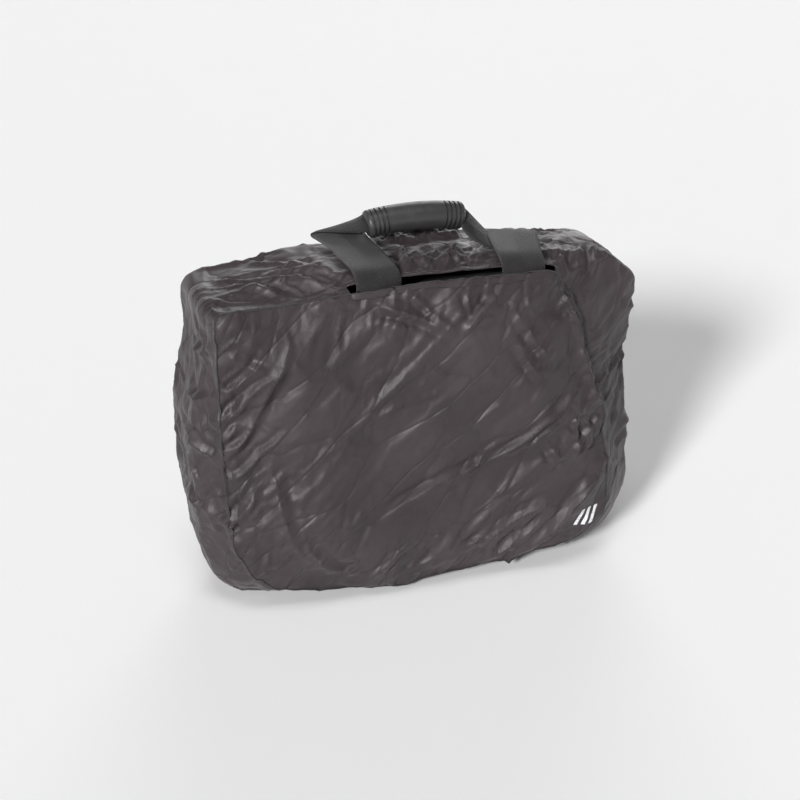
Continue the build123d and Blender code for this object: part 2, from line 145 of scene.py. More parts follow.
# ---------------------------------------------------------------- materials
class Tree:
    """A material's nodes, made a line at a time."""

    def __init__(self, name, colour, rough):
        self.material = bpy.data.materials.new(name)
        self.material.use_nodes = True
        self.nodes, self.links = self.material.node_tree.nodes, self.material.node_tree.links
        self.shader = self.nodes["Principled BSDF"]
        self.shader.inputs["Base Color"].default_value = (*colour, 1)
        self.shader.inputs["Roughness"].default_value = rough
        self.bump = None

    def add(self, kind, values=None, **options):
        node = self.nodes.new("ShaderNode" + kind)
        for key, value in options.items():
            setattr(node, key, value)
        for key, value in (values or {}).items():
            if isinstance(value, bpy.types.NodeSocket):
                self.links.new(value, node.inputs[key])
            else:
                node.inputs[key].default_value = value
        return node

    def spot(self, stretch=(1, 1, 1), turn=(0, 0, 0), source="Object"):
        """Coordinates, turned and stretched."""
        place = self.add("TexCoord").outputs[source]
        turned = self.add("Mapping", {"Vector": place, "Rotation": turn})
        return self.add("Mapping", {"Vector": turned.outputs[0], "Scale": stretch}).outputs[0]

    def noise(self, scale, detail=3.0, distortion=0.0, where=None, kind="FBM"):
        node = self.add("TexNoise", noise_type=kind)
        if kind == "FBM":
            node.normalize = True
        node.inputs["Scale"].default_value = scale
        node.inputs["Detail"].default_value = detail
        node.inputs["Distortion"].default_value = distortion
        self.links.new(where if where is not None else self.spot(), node.inputs["Vector"])
        return node.outputs[0]

    def warped(self, where, amount):
        """Coordinates pushed about by noise, so that a pattern's lines wander."""
        wander = self.add("TexNoise", {"Vector": where, "Scale": 0.7, "Detail": 3.0}).outputs["Color"]
        centred = self.add("VectorMath", {0: wander, 1: (0.5, 0.5, 0.5)}, operation="SUBTRACT").outputs[0]
        scaled = self.add("VectorMath", {0: centred, "Scale": amount}, operation="SCALE").outputs[0]
        return self.add("VectorMath", {0: where, 1: scaled}, operation="ADD").outputs[0]

    def cells(self, where):
        """The distance to the nearest border between irregular cells."""
        node = self.add("TexVoronoi", {"Vector": where, "Scale": 1.0}, feature="DISTANCE_TO_EDGE")
        return node.outputs["Distance"]

    def math(self, operation, a, b=None):
        node = self.add("Math", operation=operation)
        for i, value in enumerate((a, b)):
            if isinstance(value, bpy.types.NodeSocket):
                self.links.new(value, node.inputs[i])
            elif value is not None:
                node.inputs[i].default_value = value
        return node.outputs[0]

    def ramp(self, value, low, high, at=(0.3, 0.7)):
        """Colours or greys between two places."""
        node = self.add("ValToRGB", {"Fac": value})
        for element, place, tone in zip(node.color_ramp.elements, at, (low, high)):
            element.position = place
            element.color = (*tone, 1) if isinstance(tone, tuple) else (tone, tone, tone, 1)
        return node.outputs[0]

    def colour(self, socket):
        self.links.new(socket, self.shader.inputs["Base Color"])

    def rough(self, socket):
        self.links.new(socket, self.shader.inputs["Roughness"])

    def raise_by(self, height, metres, strength=1.0):
        """Adds a height to the surface's bump."""
        values = {"Height": height, "Distance": metres, "Strength": strength}
        if self.bump is not None:
            values["Normal"] = self.bump
        self.bump = self.add("Bump", values).outputs[0]
        self.links.new(self.bump, self.shader.inputs["Normal"])


def cover_nylon():
    """Thin coated nylon: flat facets between sharp creases that mostly follow the pull.
    Its colour has painted shade along the crease lines, over a tone that differs at random. Every height is
    in metres."""
    tree = Tree("cover_nylon", (0.034, 0.0262, 0.029), 0.50)
    pull, cross = (0.0, 0.73, 0.0), (0.0, 1.05, 0.2)
    wide = tree.cells(tree.warped(tree.spot((6.5, 20, 22), pull), 0.7))
    slim = tree.cells(tree.warped(tree.spot((17, 40, 44), cross), 0.9))
    patch = tree.ramp(tree.noise(8.0, 3.0, 0.4), 0.0, 1.0, (0.44, 0.60))
    tree.raise_by(wide, 0.0050, 0.85)
    tree.raise_by(tree.ramp(wide, 0.0, 1.0, (0.0, 0.045)), 0.0005, 0.9)
    tree.raise_by(tree.math("MULTIPLY", slim, patch), 0.0036, 0.9)
    folds = tree.noise(1.0, 4.0, 0.6, tree.spot((9, 30, 33), pull), "RIDGED_MULTIFRACTAL")
    tree.raise_by(folds, 0.0007, 0.6)
    tree.raise_by(tree.noise(38.0, 3.0, 0.9), 0.0006, 0.5)
    tree.raise_by(tree.noise(1500.0, 2.0), 0.00012, 0.5)
    # painted shade: the colour is darkened along the crease lines of both cell patterns, where the folds fall
    # into shade
    wide_painted_shade, slim_painted_shade = tree.ramp(wide, 0.72, 1.0, (0.0, 0.03)), tree.ramp(slim, 0.92, 1.0, (0.0, 0.05))
    lines = tree.math("MULTIPLY", wide_painted_shade, slim_painted_shade)
    shade = tree.math("MULTIPLY", tree.noise(11.0, 4.0, 0.3), lines)
    # the ramp runs from the painted crease shade up to the cloth's own tone
    tree.colour(tree.ramp(shade, (0.0145, 0.0105, 0.0118), (0.0415, 0.0312, 0.0348), (0.12, 0.68)))
    tree.rough(tree.ramp(tree.noise(24.0, 4.0), 0.45, 0.60))
    tree.shader.inputs["Specular IOR Level"].default_value = 0.42
    tree.shader.inputs["Sheen Weight"].default_value = 0.08
    tree.shader.inputs["Sheen Roughness"].default_value = 0.45
    return tree.material


def webbing_material(name, colour, pitch=0.0021, height=0.0005):
    """Heavy webbing: chevron ribs across a tape whose UVs are in metres."""
    column_pitch = 0.0016
    tree = Tree(name, colour, 0.62)
    split = tree.add("SeparateXYZ", {"Vector": tree.spot(source="UV")})
    lean = tree.math("MULTIPLY", tree.math("ABSOLUTE", split.outputs[1]), 0.55)
    phase = tree.math("MULTIPLY", tree.math("ADD", split.outputs[0], lean), 2 * math.pi / pitch)
    rib = tree.math("SINE", phase)
    column = tree.math("SINE", tree.math("MULTIPLY", split.outputs[1], 2 * math.pi / column_pitch))
    tree.raise_by(rib, height, 0.9)
    tree.raise_by(column, height * 0.4, 0.6)
    shade = tree.math("ADD", tree.math("MULTIPLY", rib, 0.22), tree.noise(160.0, 3.0))
    dark, light = tuple(c * 0.55 for c in colour), tuple(c * 1.7 for c in colour)
    tree.colour(tree.ramp(shade, dark, light, (0.2, 0.85)))
    tree.shader.inputs["Sheen Weight"].default_value = 0.12
    return tree.material


def polyester_material():
    """Packcloth: rows of threads that pass over and under each other."""
    thread_pitch = 0.0018
    tree = Tree("polyester", (0.020, 0.020, 0.022), 0.7)
    split = tree.add("SeparateXYZ", {"Vector": tree.spot()})
    turn = 2 * math.pi / thread_pitch
    along = tree.math("SINE", tree.math("MULTIPLY", split.outputs[0], turn))
    across = tree.math("SINE", tree.math("MULTIPLY", split.outputs[2], turn))
    tree.raise_by(tree.math("MULTIPLY", along, across), 0.00035, 0.8)
    tree.colour(tree.ramp(tree.noise(60.0, 4.0), (0.012, 0.012, 0.013), (0.030, 0.030, 0.032)))
    tree.raise_by(tree.noise(900.0, 2.0), 0.0001, 0.6)
    tree.shader.inputs["Sheen Weight"].default_value = 0.1
    return tree.material


def moulded(name, colour, rough, grain=700.0, depth=0.00006, metal=0.0):
    """Moulded plastic, rubber or enamel: fine grain, uneven gloss, edges rubbed a little paler."""
    tree = Tree(name, colour, rough)
    tree.shader.inputs["Metallic"].default_value = metal
    tree.raise_by(tree.noise(grain, 3.0), depth, 0.7)
    tree.raise_by(tree.noise(70.0, 2.0), 0.0002, 0.25)
    wear = tree.math("MULTIPLY", tree.add("NewGeometry").outputs["Pointiness"], tree.noise(120.0, 4.0))
    pale = tuple(c * 1.7 + 0.004 for c in colour)
    tree.colour(tree.ramp(wear, colour, pale, (0.27, 0.45)))
    tree.rough(tree.ramp(tree.noise(90.0, 4.0), max(rough - 0.08, 0.05), rough + 0.1))
    return tree.material


def print_material():
    """The pale print: uneven, and creased with the cloth under it."""
    tree = Tree("print", (0.62, 0.62, 0.64), 0.35)
    tree.colour(tree.ramp(tree.noise(420.0, 3.0), (0.36, 0.36, 0.37), (0.74, 0.74, 0.76), (0.3, 0.5)))
    tree.raise_by(tree.noise(900.0, 2.0), 0.0001, 0.6)
    tree.raise_by(tree.noise(34.0, 4.0, 1.2), 0.0012, 0.5)
    return tree.material


MATERIALS = {
    "cover_nylon": cover_nylon(),
    "tape": webbing_material("tape", (0.020, 0.018, 0.019), 0.0012, 0.0002),
    "elastic": webbing_material("elastic", (0.018, 0.016, 0.017), 0.0030, 0.0008),
    "print": print_material(),
    "polyester": polyester_material(),
    "board": moulded("board", (0.020, 0.020, 0.021), 0.6),
    "foot_rubber": moulded("foot_rubber", (0.012, 0.012, 0.012), 0.7, 300.0, 0.0004),
    "webbing": webbing_material("webbing", (0.0080, 0.0064, 0.0069)),
    "grip_rubber": moulded("grip_rubber", (0.034, 0.034, 0.035), 0.42, 900.0, 0.00003),
    "core_plastic": moulded("core_plastic", (0.022, 0.022, 0.022), 0.5),
    "zip_nylon": moulded("zip_nylon", (0.012, 0.012, 0.013), 0.4),
    "slider_metal": moulded("slider_metal", (0.016, 0.016, 0.017), 0.32, metal=0.6),
    "buckle_plastic": moulded("buckle_plastic", (0.010, 0.010, 0.011), 0.42),
    "ring_steel": moulded("ring_steel", (0.030, 0.030, 0.032), 0.30, metal=0.8),
}
for node in cad_nodes:
    for k, old in enumerate(node.data.materials):
        node.material_slots[k].material = MATERIALS[old.name.split(".")[0]]


# ---------------------------------------------------------------- the cover's outlines
seam_box, top_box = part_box("cover_front_panel"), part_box("cover_top_panel")
hem_box, elastic_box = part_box("cover_back_hem"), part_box("hem_elastic")
SEAM_Y = seam_box[1].y
MID_FRONT_Y, MID_BACK_Y = -46 * MM, 40 * MM
HEM_Y = elastic_box[0].y + (elastic_box[1].y - elastic_box[0].y) / 2
HALF, TOP = top_box[1].x, top_box[1].z
CENTRE_Z = 0.5 * TOP
TURNS = 1440  # directions in which an outline's radius is kept
FINE = 60  # places on each of an outline's runs at which its radius is measured


def rounded_outline(corners, steps=10):
    """The distance from the middle to a closed outline in each of TURNS directions.
    A corner is x, z and radius in metres."""
    line = []
    count = len(corners)
    for i, (x, z, radius) in enumerate(corners):
        here = np.array((x, z))
        before = np.array(corners[i - 1][:2]) - here
        after = np.array(corners[(i + 1) % count][:2]) - here
        a, b = before / np.linalg.norm(before), after / np.linalg.norm(after)
        half_turn = math.acos(np.clip(a @ b, -1, 1)) / 2
        reach = min(radius / math.tan(half_turn), 0.5 * np.linalg.norm(before), 0.5 * np.linalg.norm(after))
        start, end = here + a * reach, here + b * reach
        for step in range(steps + 1):
            t = step / steps
            line.append((1 - t) ** 2 * start + 2 * t * (1 - t) * here + t * t * end)
    line = np.array(line + line[:1]) - (0, CENTRE_Z)
    fine = np.concatenate([np.linspace(p, q, FINE, endpoint=False) for p, q in zip(line[:-1], line[1:])])
    angle = np.arctan2(fine[:, 1], fine[:, 0]) % (2 * math.pi)
    order = np.argsort(angle)
    at = np.arange(TURNS + 1) * 2 * math.pi / TURNS
    return np.interp(at, angle[order], np.hypot(fine[:, 0], fine[:, 1])[order], period=2 * math.pi)


def radius_at(outline, angle):
    """The outline's radius in any direction."""
    at = np.arange(TURNS + 1) * 2 * math.pi / TURNS
    return np.interp(np.asarray(angle) % (2 * math.pi), at, outline)


S = HALF / 0.263  # one when the frame has the size these outlines were drawn at
front_outline = rounded_outline(
    [
        (-0.070 * S, 0.010, 0.30),
        (-0.192 * S, 0.024, 0.05),
        (-0.230 * S, 0.080, 0.07),
        (-0.240 * S, 0.240, 0.30),
        (-0.237 * S, 0.357, 0.014),
        (-0.020 * S, 0.370, 0.50),
        (0.142 * S, 0.368, 0.03),
        (0.178 * S, 0.275, 0.12),
        (0.202 * S, 0.200, 0.12),
        (0.218 * S, 0.070, 0.08),
        (0.180 * S, 0.030, 0.06),
        (0.060 * S, 0.012, 0.30),
    ]
)
mid_outline = rounded_outline(
    [
        (-0.100 * S, 0.000, 0.30),
        (-0.243 * S, 0.014, 0.06),
        (-0.261 * S, 0.120, 0.20),
        (-0.265 * S, 0.225, 0.08),
        (-0.246 * S, 0.300, 0.10),
        (-0.249 * S, 0.360, 0.020),
        (-0.120 * S, 0.383, 0.30),
        (0.100 * S, 0.381, 0.40),
        (0.212 * S, 0.3675, 0.05),
        (0.254 * S, 0.337, 0.026),
        (0.246 * S, 0.240, 0.20),
        (0.257 * S, 0.075, 0.08),
        (0.222 * S, 0.008, 0.08),
        (0.080 * S, 0.000, 0.30),
    ]
)
back_outline = rounded_outline(
    [
        (-0.160 * S, 0.008, 0.07),
        (-0.214 * S, 0.040, 0.06),
        (-0.236 * S, 0.200, 0.30),
        (-0.226 * S, 0.348, 0.03),
        (0.0, 0.362, 0.50),
        (0.226 * S, 0.346, 0.03),
        (0.244 * S, 0.200, 0.30),
        (0.222 * S, 0.050, 0.06),
        (0.170 * S, 0.008, 0.07),
    ]
)
mouth_half = elastic_box[1].x
mouth_outline = rounded_outline(
    [
        (-mouth_half, elastic_box[0].z, 0.05),
        (-mouth_half, elastic_box[1].z, 0.05),
        (mouth_half, elastic_box[1].z, 0.05),
        (mouth_half, elastic_box[0].z, 0.05),
    ]
)
# depth, outline and distance along the cloth from the front seam
SECTIONS = [(SEAM_Y, front_outline), (MID_FRONT_Y, mid_outline), (MID_BACK_Y, mid_outline)]
SECTIONS += [(hem_box[1].y - 6 * MM, back_outline), (HEM_Y, mouth_outline)]
RUN = np.array([0.0, 0.050, 0.136, 0.176, 0.226])
SLOT_LEFT, SLOT_RIGHT = -0.093 * S, 0.136 * S
SLOT_DEPTH = 0.013
CROWN = SEAM_Y - seam_box[0].y


def boxing_point(angle, t, inset=0.0):
    """A point of the boxing in a direction, at a distance t from the front seam along the cloth."""
    angle, t = np.asarray(angle), np.clip(t, RUN[0], RUN[-1])
    rows = [radius_at(outline, angle) for _, outline in SECTIONS]
    ys = [y for y, _ in SECTIONS]
    radius, y = np.zeros(t.shape), np.zeros(t.shape)
    for k in range(len(RUN) - 1):
        inside = (t >= RUN[k]) & (t <= RUN[k + 1])
        share = np.clip((t - RUN[k]) / (RUN[k + 1] - RUN[k]), 0, 1)
        radius = np.where(inside, rows[k] + (rows[k + 1] - rows[k]) * share, radius)
        y = np.where(inside, ys[k] + (ys[k + 1] - ys[k]) * share, y)
    radius = radius - inset
    return np.stack([radius * np.cos(angle), y, CENTRE_Z + radius * np.sin(angle)], axis=-1)


def front_point(x, z):
    """A point of the front panel: it bellies forward from its seam."""
    x, z = np.asarray(x), np.asarray(z)
    angle = np.arctan2(z - CENTRE_Z, x)
    share = np.hypot(x, z - CENTRE_Z) / radius_at(front_outline, angle)
    y = SEAM_Y - CROWN * (1 - np.clip(share, 0, 1) ** 4.5)
    return np.stack([x, y, z], axis=-1)


# ---------------------------------------------------------------- the cover's cloth
GRAIN = 0.0052  # spacing of the cloth's points
MARGIN = 0.6 * GRAIN  # the nearest that a loose point comes to an edge
ROW_SHARE, JITTER = 0.866, 0.16  # of the spacing: from row to row, and how far a point strays
CLOTH_SEED = 11


def hex_points(low, high, spacing, rng):
    """A jittered triangular lattice over a box in the plane."""
    rows = int((high[1] - low[1]) / (spacing * ROW_SHARE)) + 1
    points = []
    for j in range(rows):
        shift = 0.5 * spacing * (j % 2)
        for i in range(int((high[0] - low[0]) / spacing) + 1):
            points.append((low[0] + shift + i * spacing, low[1] + j * spacing * ROW_SHARE))
    points = np.array(points)
    return points + rng.uniform(-JITTER, JITTER, points.shape) * spacing


def triangulate(chains, inner):
    """Delaunay triangles over points, keeping every edge of the chains.
    A closed chain ends where it starts."""
    points, edges = [], []
    for chain in chains:
        first = len(points)
        points += list(map(tuple, chain))
        edges += [(first + i, first + i + 1) for i in range(len(chain) - 1)]
    points += list(map(tuple, inner))
    made = geometry.delaunay_2d_cdt([Vector(p) for p in points], edges, [], 0, 1e-7)
    return np.array([tuple(v) for v in made[0]]), [tuple(f) for f in made[2]]


class CoverCut:
    """The cover's flat patterns: the front panel in its own plane, and the boxing unrolled."""

    def __init__(self):
        turns = np.arange(TURNS + 1) * 2 * math.pi / TURNS
        rim = np.stack([mid_outline * np.cos(turns), mid_outline * np.sin(turns)], axis=1)
        self.turns = turns
        self.around = np.concatenate([[0], np.cumsum(np.linalg.norm(np.diff(rim, axis=0), axis=1))])
        self.length, self.depth = self.around[-1], RUN[-1]
        self.count = int(round(self.length / GRAIN))
        self.seam_s = np.arange(self.count) * self.length / self.count
        self.slot = [self.nearest_seam(x) for x in (SLOT_RIGHT, SLOT_LEFT)]

    def angle(self, s):
        """The direction of a place round the bag."""
        return np.interp(s, self.around, self.turns)

    def nearest_seam(self, x):
        """The place along the seam that is nearest to x on top of the bag."""
        angle = self.angle(self.seam_s)
        radius = radius_at(front_outline, angle)
        off = np.abs(radius * np.cos(angle) - x) + 10 * (np.sin(angle) < 0.3)
        return self.seam_s[int(off.argmin())]

    def front(self, rng):
        """The front panel: x and z of its points, and its faces."""
        angle = self.angle(self.seam_s)
        radius = radius_at(front_outline, angle)
        seam = np.stack([radius * np.cos(angle), CENTRE_Z + radius * np.sin(angle)], axis=1)
        lattice = hex_points(seam.min(0), seam.max(0), GRAIN, rng)
        angle = np.arctan2(lattice[:, 1] - CENTRE_Z, lattice[:, 0])
        gap = radius_at(front_outline, angle) - np.hypot(lattice[:, 0], lattice[:, 1] - CENTRE_Z)
        chain = [tuple(p) for p in seam] + [tuple(seam[0])]
        flat, faces = triangulate([chain], lattice[gap > MARGIN])
        return flat, [f for f in faces if self.inside_front(flat[list(f)].mean(0))]

    @staticmethod
    def inside_front(point):
        x, z = point
        limit = radius_at(front_outline, math.atan2(z - CENTRE_Z, x))
        return math.hypot(x, z - CENTRE_Z) < limit + 1e-4

    def strip(self, rng):
        """The boxing and hem: x is the distance round the bag, y the distance from the front seam."""
        side = np.arange(int(round(self.depth / GRAIN)) + 1) * self.depth / round(self.depth / GRAIN)
        low, high = self.slot
        across = [s for s in self.seam_s if low <= s <= high]
        down = np.linspace(0, SLOT_DEPTH, 4)
        edge = [(s, 0.0) for s in self.seam_s] + [(self.length, t) for t in side]
        edge += [(s, self.depth) for s in self.seam_s[::-1]] + [(0.0, t) for t in side[-2::-1]]
        slot = [(low, t) for t in down] + [(s, SLOT_DEPTH) for s in across[1:]]
        slot += [(high, t) for t in down[-2::-1]]
        lattice = hex_points((0.0, 0.0), (self.length, self.depth), GRAIN, rng)
        keep = (lattice[:, 0] > MARGIN) & (lattice[:, 0] < self.length - MARGIN)
        keep &= (lattice[:, 1] > MARGIN) & (lattice[:, 1] < self.depth - MARGIN)
        near_slot = (lattice[:, 0] > low - MARGIN) & (lattice[:, 0] < high + MARGIN)
        keep &= ~(near_slot & (lattice[:, 1] < SLOT_DEPTH + MARGIN))
        flat, faces = triangulate([edge, slot], lattice[keep])
        middle = [flat[list(f)].mean(0) for f in faces]
        open_slot = [low < s < high and t < SLOT_DEPTH for s, t in middle]
        return flat, [f for f, hole in zip(faces, open_slot) if not hole]


def assemble_cover():
    """Sews the patterns together. Returns points, faces, each point's panel and place on it, and the cut."""
    rng, cut = np.random.default_rng(CLOTH_SEED), CoverCut()
    flat, faces = cut.front(rng)
    points = [tuple(p) for p in front_point(flat[:, 0], flat[:, 1])]
    panel, place = [0] * len(flat), [tuple(p) for p in flat]
    strip, strip_faces = cut.strip(rng)
    hair = 0.01 * GRAIN
    index, joined = {}, {}
    for i in np.lexsort((strip[:, 0], strip[:, 1])):
        s, t = strip[i]
        around = round(s % cut.length, 6) % round(cut.length, 6)
        if t < hair:
            index[i] = int(round(around / cut.length * cut.count)) % cut.count
            continue
        key = (around if around > hair else 0.0, round(t, 6))
        if key not in joined:
            joined[key] = len(points)
            points.append(tuple(boxing_point(cut.angle(around), t)))
            panel.append(1)
            place.append((around, t))
        index[i] = joined[key]
    for f in strip_faces:
        face = [index[k] for k in f]
        if len(set(face)) == 3:
            faces.append(tuple(face[::-1]))
    return np.array(points), faces, np.array(panel), np.array(place), cut


cloth_points, cloth_faces, cloth_panel, cloth_place, cut = assemble_cover()


def inner_form(inset):
    """A closed body inside the cover, for the cloth to lie on."""
    turns, steps = 96, 6
    angle = np.arange(turns) * 2 * math.pi / turns
    rows = []
    for share in np.linspace(0.06, 1, steps)[:-1]:
        radius = radius_at(front_outline, angle) * share
        p = front_point(radius * np.cos(angle), CENTRE_Z + radius * np.sin(angle))
        rows.append(p + (0, inset, 0))
    for t in np.concatenate([RUN[:1] + 0.003, np.linspace(RUN[1] * 0.5, RUN[3], 9)]):
        p = boxing_point(angle, np.full(turns, t), inset)
        rows.append(p + (0, inset * (1 - t / RUN[3]) - inset * t / RUN[3], 0))
    last = rows[-1].copy()
    for share in (0.7, 0.35, 0.05):
        middle = np.array((0, last[:, 1].mean(), CENTRE_Z))
        rows.append(middle + (last - middle) * (share, 1, share))
    points = np.concatenate(rows)
    faces = []
    for r in range(len(rows) - 1):
        for i in range(turns):
            j = (i + 1) % turns
            faces.append((r * turns + i, (r + 1) * turns + i, (r + 1) * turns + j, r * turns + j))
    faces.append(tuple(range(turns)))
    faces.append(tuple((len(rows) - 1) * turns + i for i in range(turns))[::-1])
    return mesh_object("inner_form", points, faces)


SWELL = 4 * MM  # how far the cloth is drawn out into folds before it settles
SLACK, DRAPE_FRAMES = 0.020, 26  # the share that the cloth is too large by, and how long it settles
FORM_INSET = 6 * MM
SEAM_HOLD, MOUTH_HOLD, SLOT_HOLD = 0.55, 1.0, 0.5  # how firmly those edges are kept in place


def drape_cover(points, faces, panel, place):
    """Lets the cover settle over the bag as cloth, and returns its points."""
    obj = mesh_object("cover_cloth", points, faces)
    normals = np.array([v.normal for v in obj.data.vertices])
    rise = long_folds(points, 0.30, 0.045, 3) + 0.6 * long_folds(points, 0.14, 0.022, 8)
    swell = SWELL * np.where(panel == 0, 1.0, 0.5)
    start = points + normals * (swell * (rise + 0.2))[:, None]
    set_coordinates(obj, start)
    weight = np.zeros(len(points))
    seam = np.arange(len(points)) < cut.count
    weight[seam] = SEAM_HOLD
    boxing = panel == 1
    weight[boxing & (place[:, 1] > RUN[-1] - 0.3 * GRAIN)] = MOUTH_HOLD
    slot_edge = boxing & (np.abs(place[:, 1] - SLOT_DEPTH) < 0.2 * GRAIN)
    slot_edge &= (place[:, 0] > cut.slot[0] - GRAIN) & (place[:, 0] < cut.slot[1] + GRAIN)
    weight[slot_edge] = SLOT_HOLD
    group = obj.vertex_groups.new(name="held")
    for i in np.nonzero(weight)[0]:
        group.add([int(i)], float(weight[i]), "REPLACE")
    form = inner_form(FORM_INSET)
    form.modifiers.new("Collision", "COLLISION")
    form.collision.thickness_outer = 0.0015
    form.collision.cloth_friction = 6
    ground = mesh_object("ground", [(-1, -1, 0), (1, -1, 0), (1, 1, 0), (-1, 1, 0)], [(0, 1, 2, 3)])
    ground.modifiers.new("Collision", "COLLISION")
    ground.collision.thickness_outer = 0.001
    cloth = obj.modifiers.new("Cloth", "CLOTH")
    st = cloth.settings
    st.quality = 7
    st.mass = 0.002
    st.tension_stiffness = st.compression_stiffness = 14
    st.shear_stiffness = 6
    st.bending_model = "ANGULAR"
    st.bending_stiffness = 0.05
    st.tension_damping = st.compression_damping = 6
    st.shear_damping = 3
    st.bending_damping = 0.4
    st.air_damping = 2
    st.shrink_min = st.shrink_max = -SLACK
    st.vertex_group_mass = "held"
    st.pin_stiffness = 0.6
    cloth.collision_settings.collision_quality = 3
    cloth.collision_settings.distance_min = 0.0015
    cloth.collision_settings.use_self_collision = False
    scene = bpy.context.scene
    cloth.point_cache.frame_start, cloth.point_cache.frame_end = 1, DRAPE_FRAMES
    for f in range(1, DRAPE_FRAMES + 1):
        scene.frame_set(f)
    apply_modifiers(obj)
    scene.frame_set(1)
    out = coordinates(obj)
    for o in (obj, form, ground):
        bpy.data.objects.remove(o)
    return out


draped = drape_cover(cloth_points, cloth_faces, cloth_panel, cloth_place)

# a plane is its two axes and the side of the bag it stands for
FRONT, ABOVE, LEFT, RIGHT = (0, 2, -1), (0, 1, 1), (1, 2, -1), (1, 2, 1)
# creases pulled into the cloth: plane, points along the crease in mm, half width and rise in mm
CREASES = [
    (FRONT, [(20, 312), (-25, 336), (-76, 358)], 5, 2.6),
    (FRONT, [(16, 318), (-8, 338), (-34, 362)], 4, 1.6),
    (FRONT, [(20, 312), (44, 330), (76, 356)], 5, 2.4),
    (FRONT, [(18, 312), (-30, 276), (-72, 240), (-120, 206), (-165, 158)], 6, 1.1),
    (FRONT, [(6, 252), (-50, 236), (-104, 212)], 4, 1.2),
    (FRONT, [(-160, 328), (-182, 282), (-206, 232), (-236, 188)], 6, 3.0),
    (FRONT, [(-232, 318), (-204, 300), (-180, 290)], 5, 1.8),
    (FRONT, [(-238, 268), (-216, 282), (-190, 312)], 4, 1.6),
    (FRONT, [(-240, 238), (-214, 256), (-190, 290)], 5, 1.8),
    (FRONT, [(-240, 200), (-216, 214), (-196, 236)], 4, 1.6),
    (FRONT, [(-238, 168), (-214, 180), (-186, 204)], 5, 1.8),
    (FRONT, [(-190, 196), (-182, 150), (-170, 96), (-140, 50)], 8, 2.4),
    (FRONT, [(-160, 120), (-152, 84), (-126, 52), (-80, 28)], 6, 1.8),
    (FRONT, [(-70, 104), (-10, 134), (42, 150), (78, 164)], 5, 2.6),
    (FRONT, [(60, 148), (104, 180), (150, 214), (186, 238)], 5, 2.4),
    (FRONT, [(76, 148), (120, 178), (176, 218)], 4, 1.6),
    (FRONT, [(26, 34), (76, 66), (120, 90), (158, 112)], 7, 3.0),
    (FRONT, [(106, 22), (150, 60), (190, 104), (222, 142)], 8, 3.4),
    (FRONT, [(60, 20), (104, 46), (150, 84)], 6, 2.0),
    (FRONT, [(-40, 18), (0, 44), (30, 84)], 6, 2.2),
    (FRONT, [(-86, 16), (-58, 44), (-46, 84)], 5, 1.6),
    (FRONT, [(150, 186), (164, 164), (168, 138)], 5, 2.0),
    (FRONT, [(168, 196), (182, 172), (180, 142)], 4, 1.8),
    (FRONT, [(120, 250), (96, 278), (86, 306)], 5, 1.6),
    (FRONT, [(136, 268), (104, 300), (86, 340)], 5, 1.8),
    (FRONT, [(128, 366), (156, 326), (176, 262), (194, 208), (214, 160)], 6, 3.2),
    (FRONT, [(-120, 352), (-138, 330), (-150, 296)], 5, 1.4),
    (FRONT, [(-100, 356), (-110, 330), (-112, 300)], 4, 1.2),
    (ABOVE, [(-214, -20), (-190, -44), (-150, -66)], 6, 2.2),
    (ABOVE, [(-226, 6), (-196, -22), (-132, -62)], 5, 2.0),
    (ABOVE, [(-186, 30), (-150, 0), (-118, -50)], 6, 2.2),
    (ABOVE, [(150, -78), (158, -40), (160, 10)], 5, 2.0),
    (ABOVE, [(166, -78), (184, -44), (196, 0)], 5, 2.0),
    (ABOVE, [(142, -70), (146, -36), (140, 12)], 4, 1.6),
    (ABOVE, [(-30, -62), (-14, -30), (-22, 6)], 6, 2.4),
    (ABOVE, [(20, -64), (34, -34), (58, -8)], 6, 2.6),
    (ABOVE, [(-4, -60), (8, -36), (34, -18)], 5, 2.0),
    (ABOVE, [(60, -64), (70, -30), (92, -2)], 5, 2.0),
    (LEFT, [(-78, 330), (-40, 300), (10, 296)], 6, 2.4),
    (LEFT, [(-80, 262), (-44, 250), (-2, 262)], 6, 2.0),
    (LEFT, [(-78, 180), (-40, 206), (6, 214)], 6, 2.2),
    (LEFT, [(-70, 120), (-30, 132), (20, 120)], 5, 1.6),
    (RIGHT, [(-60, 230), (-20, 250), (30, 246)], 6, 2.2),
    (RIGHT, [(-64, 140), (-20, 170), (24, 176)], 6, 2.2),
    (RIGHT, [(-66, 300), (-20, 296), (28, 306)], 6, 2.0),
]
# zones of short creases: plane, its two ranges in mm, direction and spread in degrees, how many,
# then shortest, longest, half width and rise in mm
ZONES = [
    (FRONT, (-236, -182), (120, 335), 48, 14, 20, 26, 66, 3.2, 1.7),
    (FRONT, (-215, -90), (20, 130), 62, 24, 12, 24, 60, 3.4, 1.2),
    (FRONT, (50, 215), (90, 250), 38, 9, 16, 46, 120, 3.4, 1.5),
    (FRONT, (-60, 130), (12, 80), 52, 26, 18, 22, 60, 3.4, 1.7),
    (FRONT, (-110, 118), (325, 366), 66, 34, 20, 16, 44, 3.0, 1.3),
    (FRONT, (80, 150), (230, 345), 56, 12, 10, 30, 70, 3.2, 1.2),
    (FRONT, (130, 200), (130, 215), 100, 30, 12, 18, 46, 3.4, 1.8),
    (FRONT, (-150, 60), (110, 300), 40, 22, 10, 40, 110, 3.0, 0.6),
    (ABOVE, (-34, 84), (-66, 4), 80, 34, 20, 18, 50, 3.6, 1.9),
    (ABOVE, (-225, -100), (-70, 20), -32, 24, 16, 30, 80, 3.6, 1.5),
    (ABOVE, (128, 215), (-80, 10), 82, 22, 16, 26, 70, 3.6, 1.7),
    (ABOVE, (-220, 220), (10, 70), 84, 30, 26, 20, 46, 3.8, 1.3),
    (LEFT, (-80, 60), (60, 340), 66, 40, 26, 26, 74, 3.8, 1.5),
    (RIGHT, (-80, 60), (60, 340), 60, 40, 24, 26, 74, 3.8, 1.5),
]


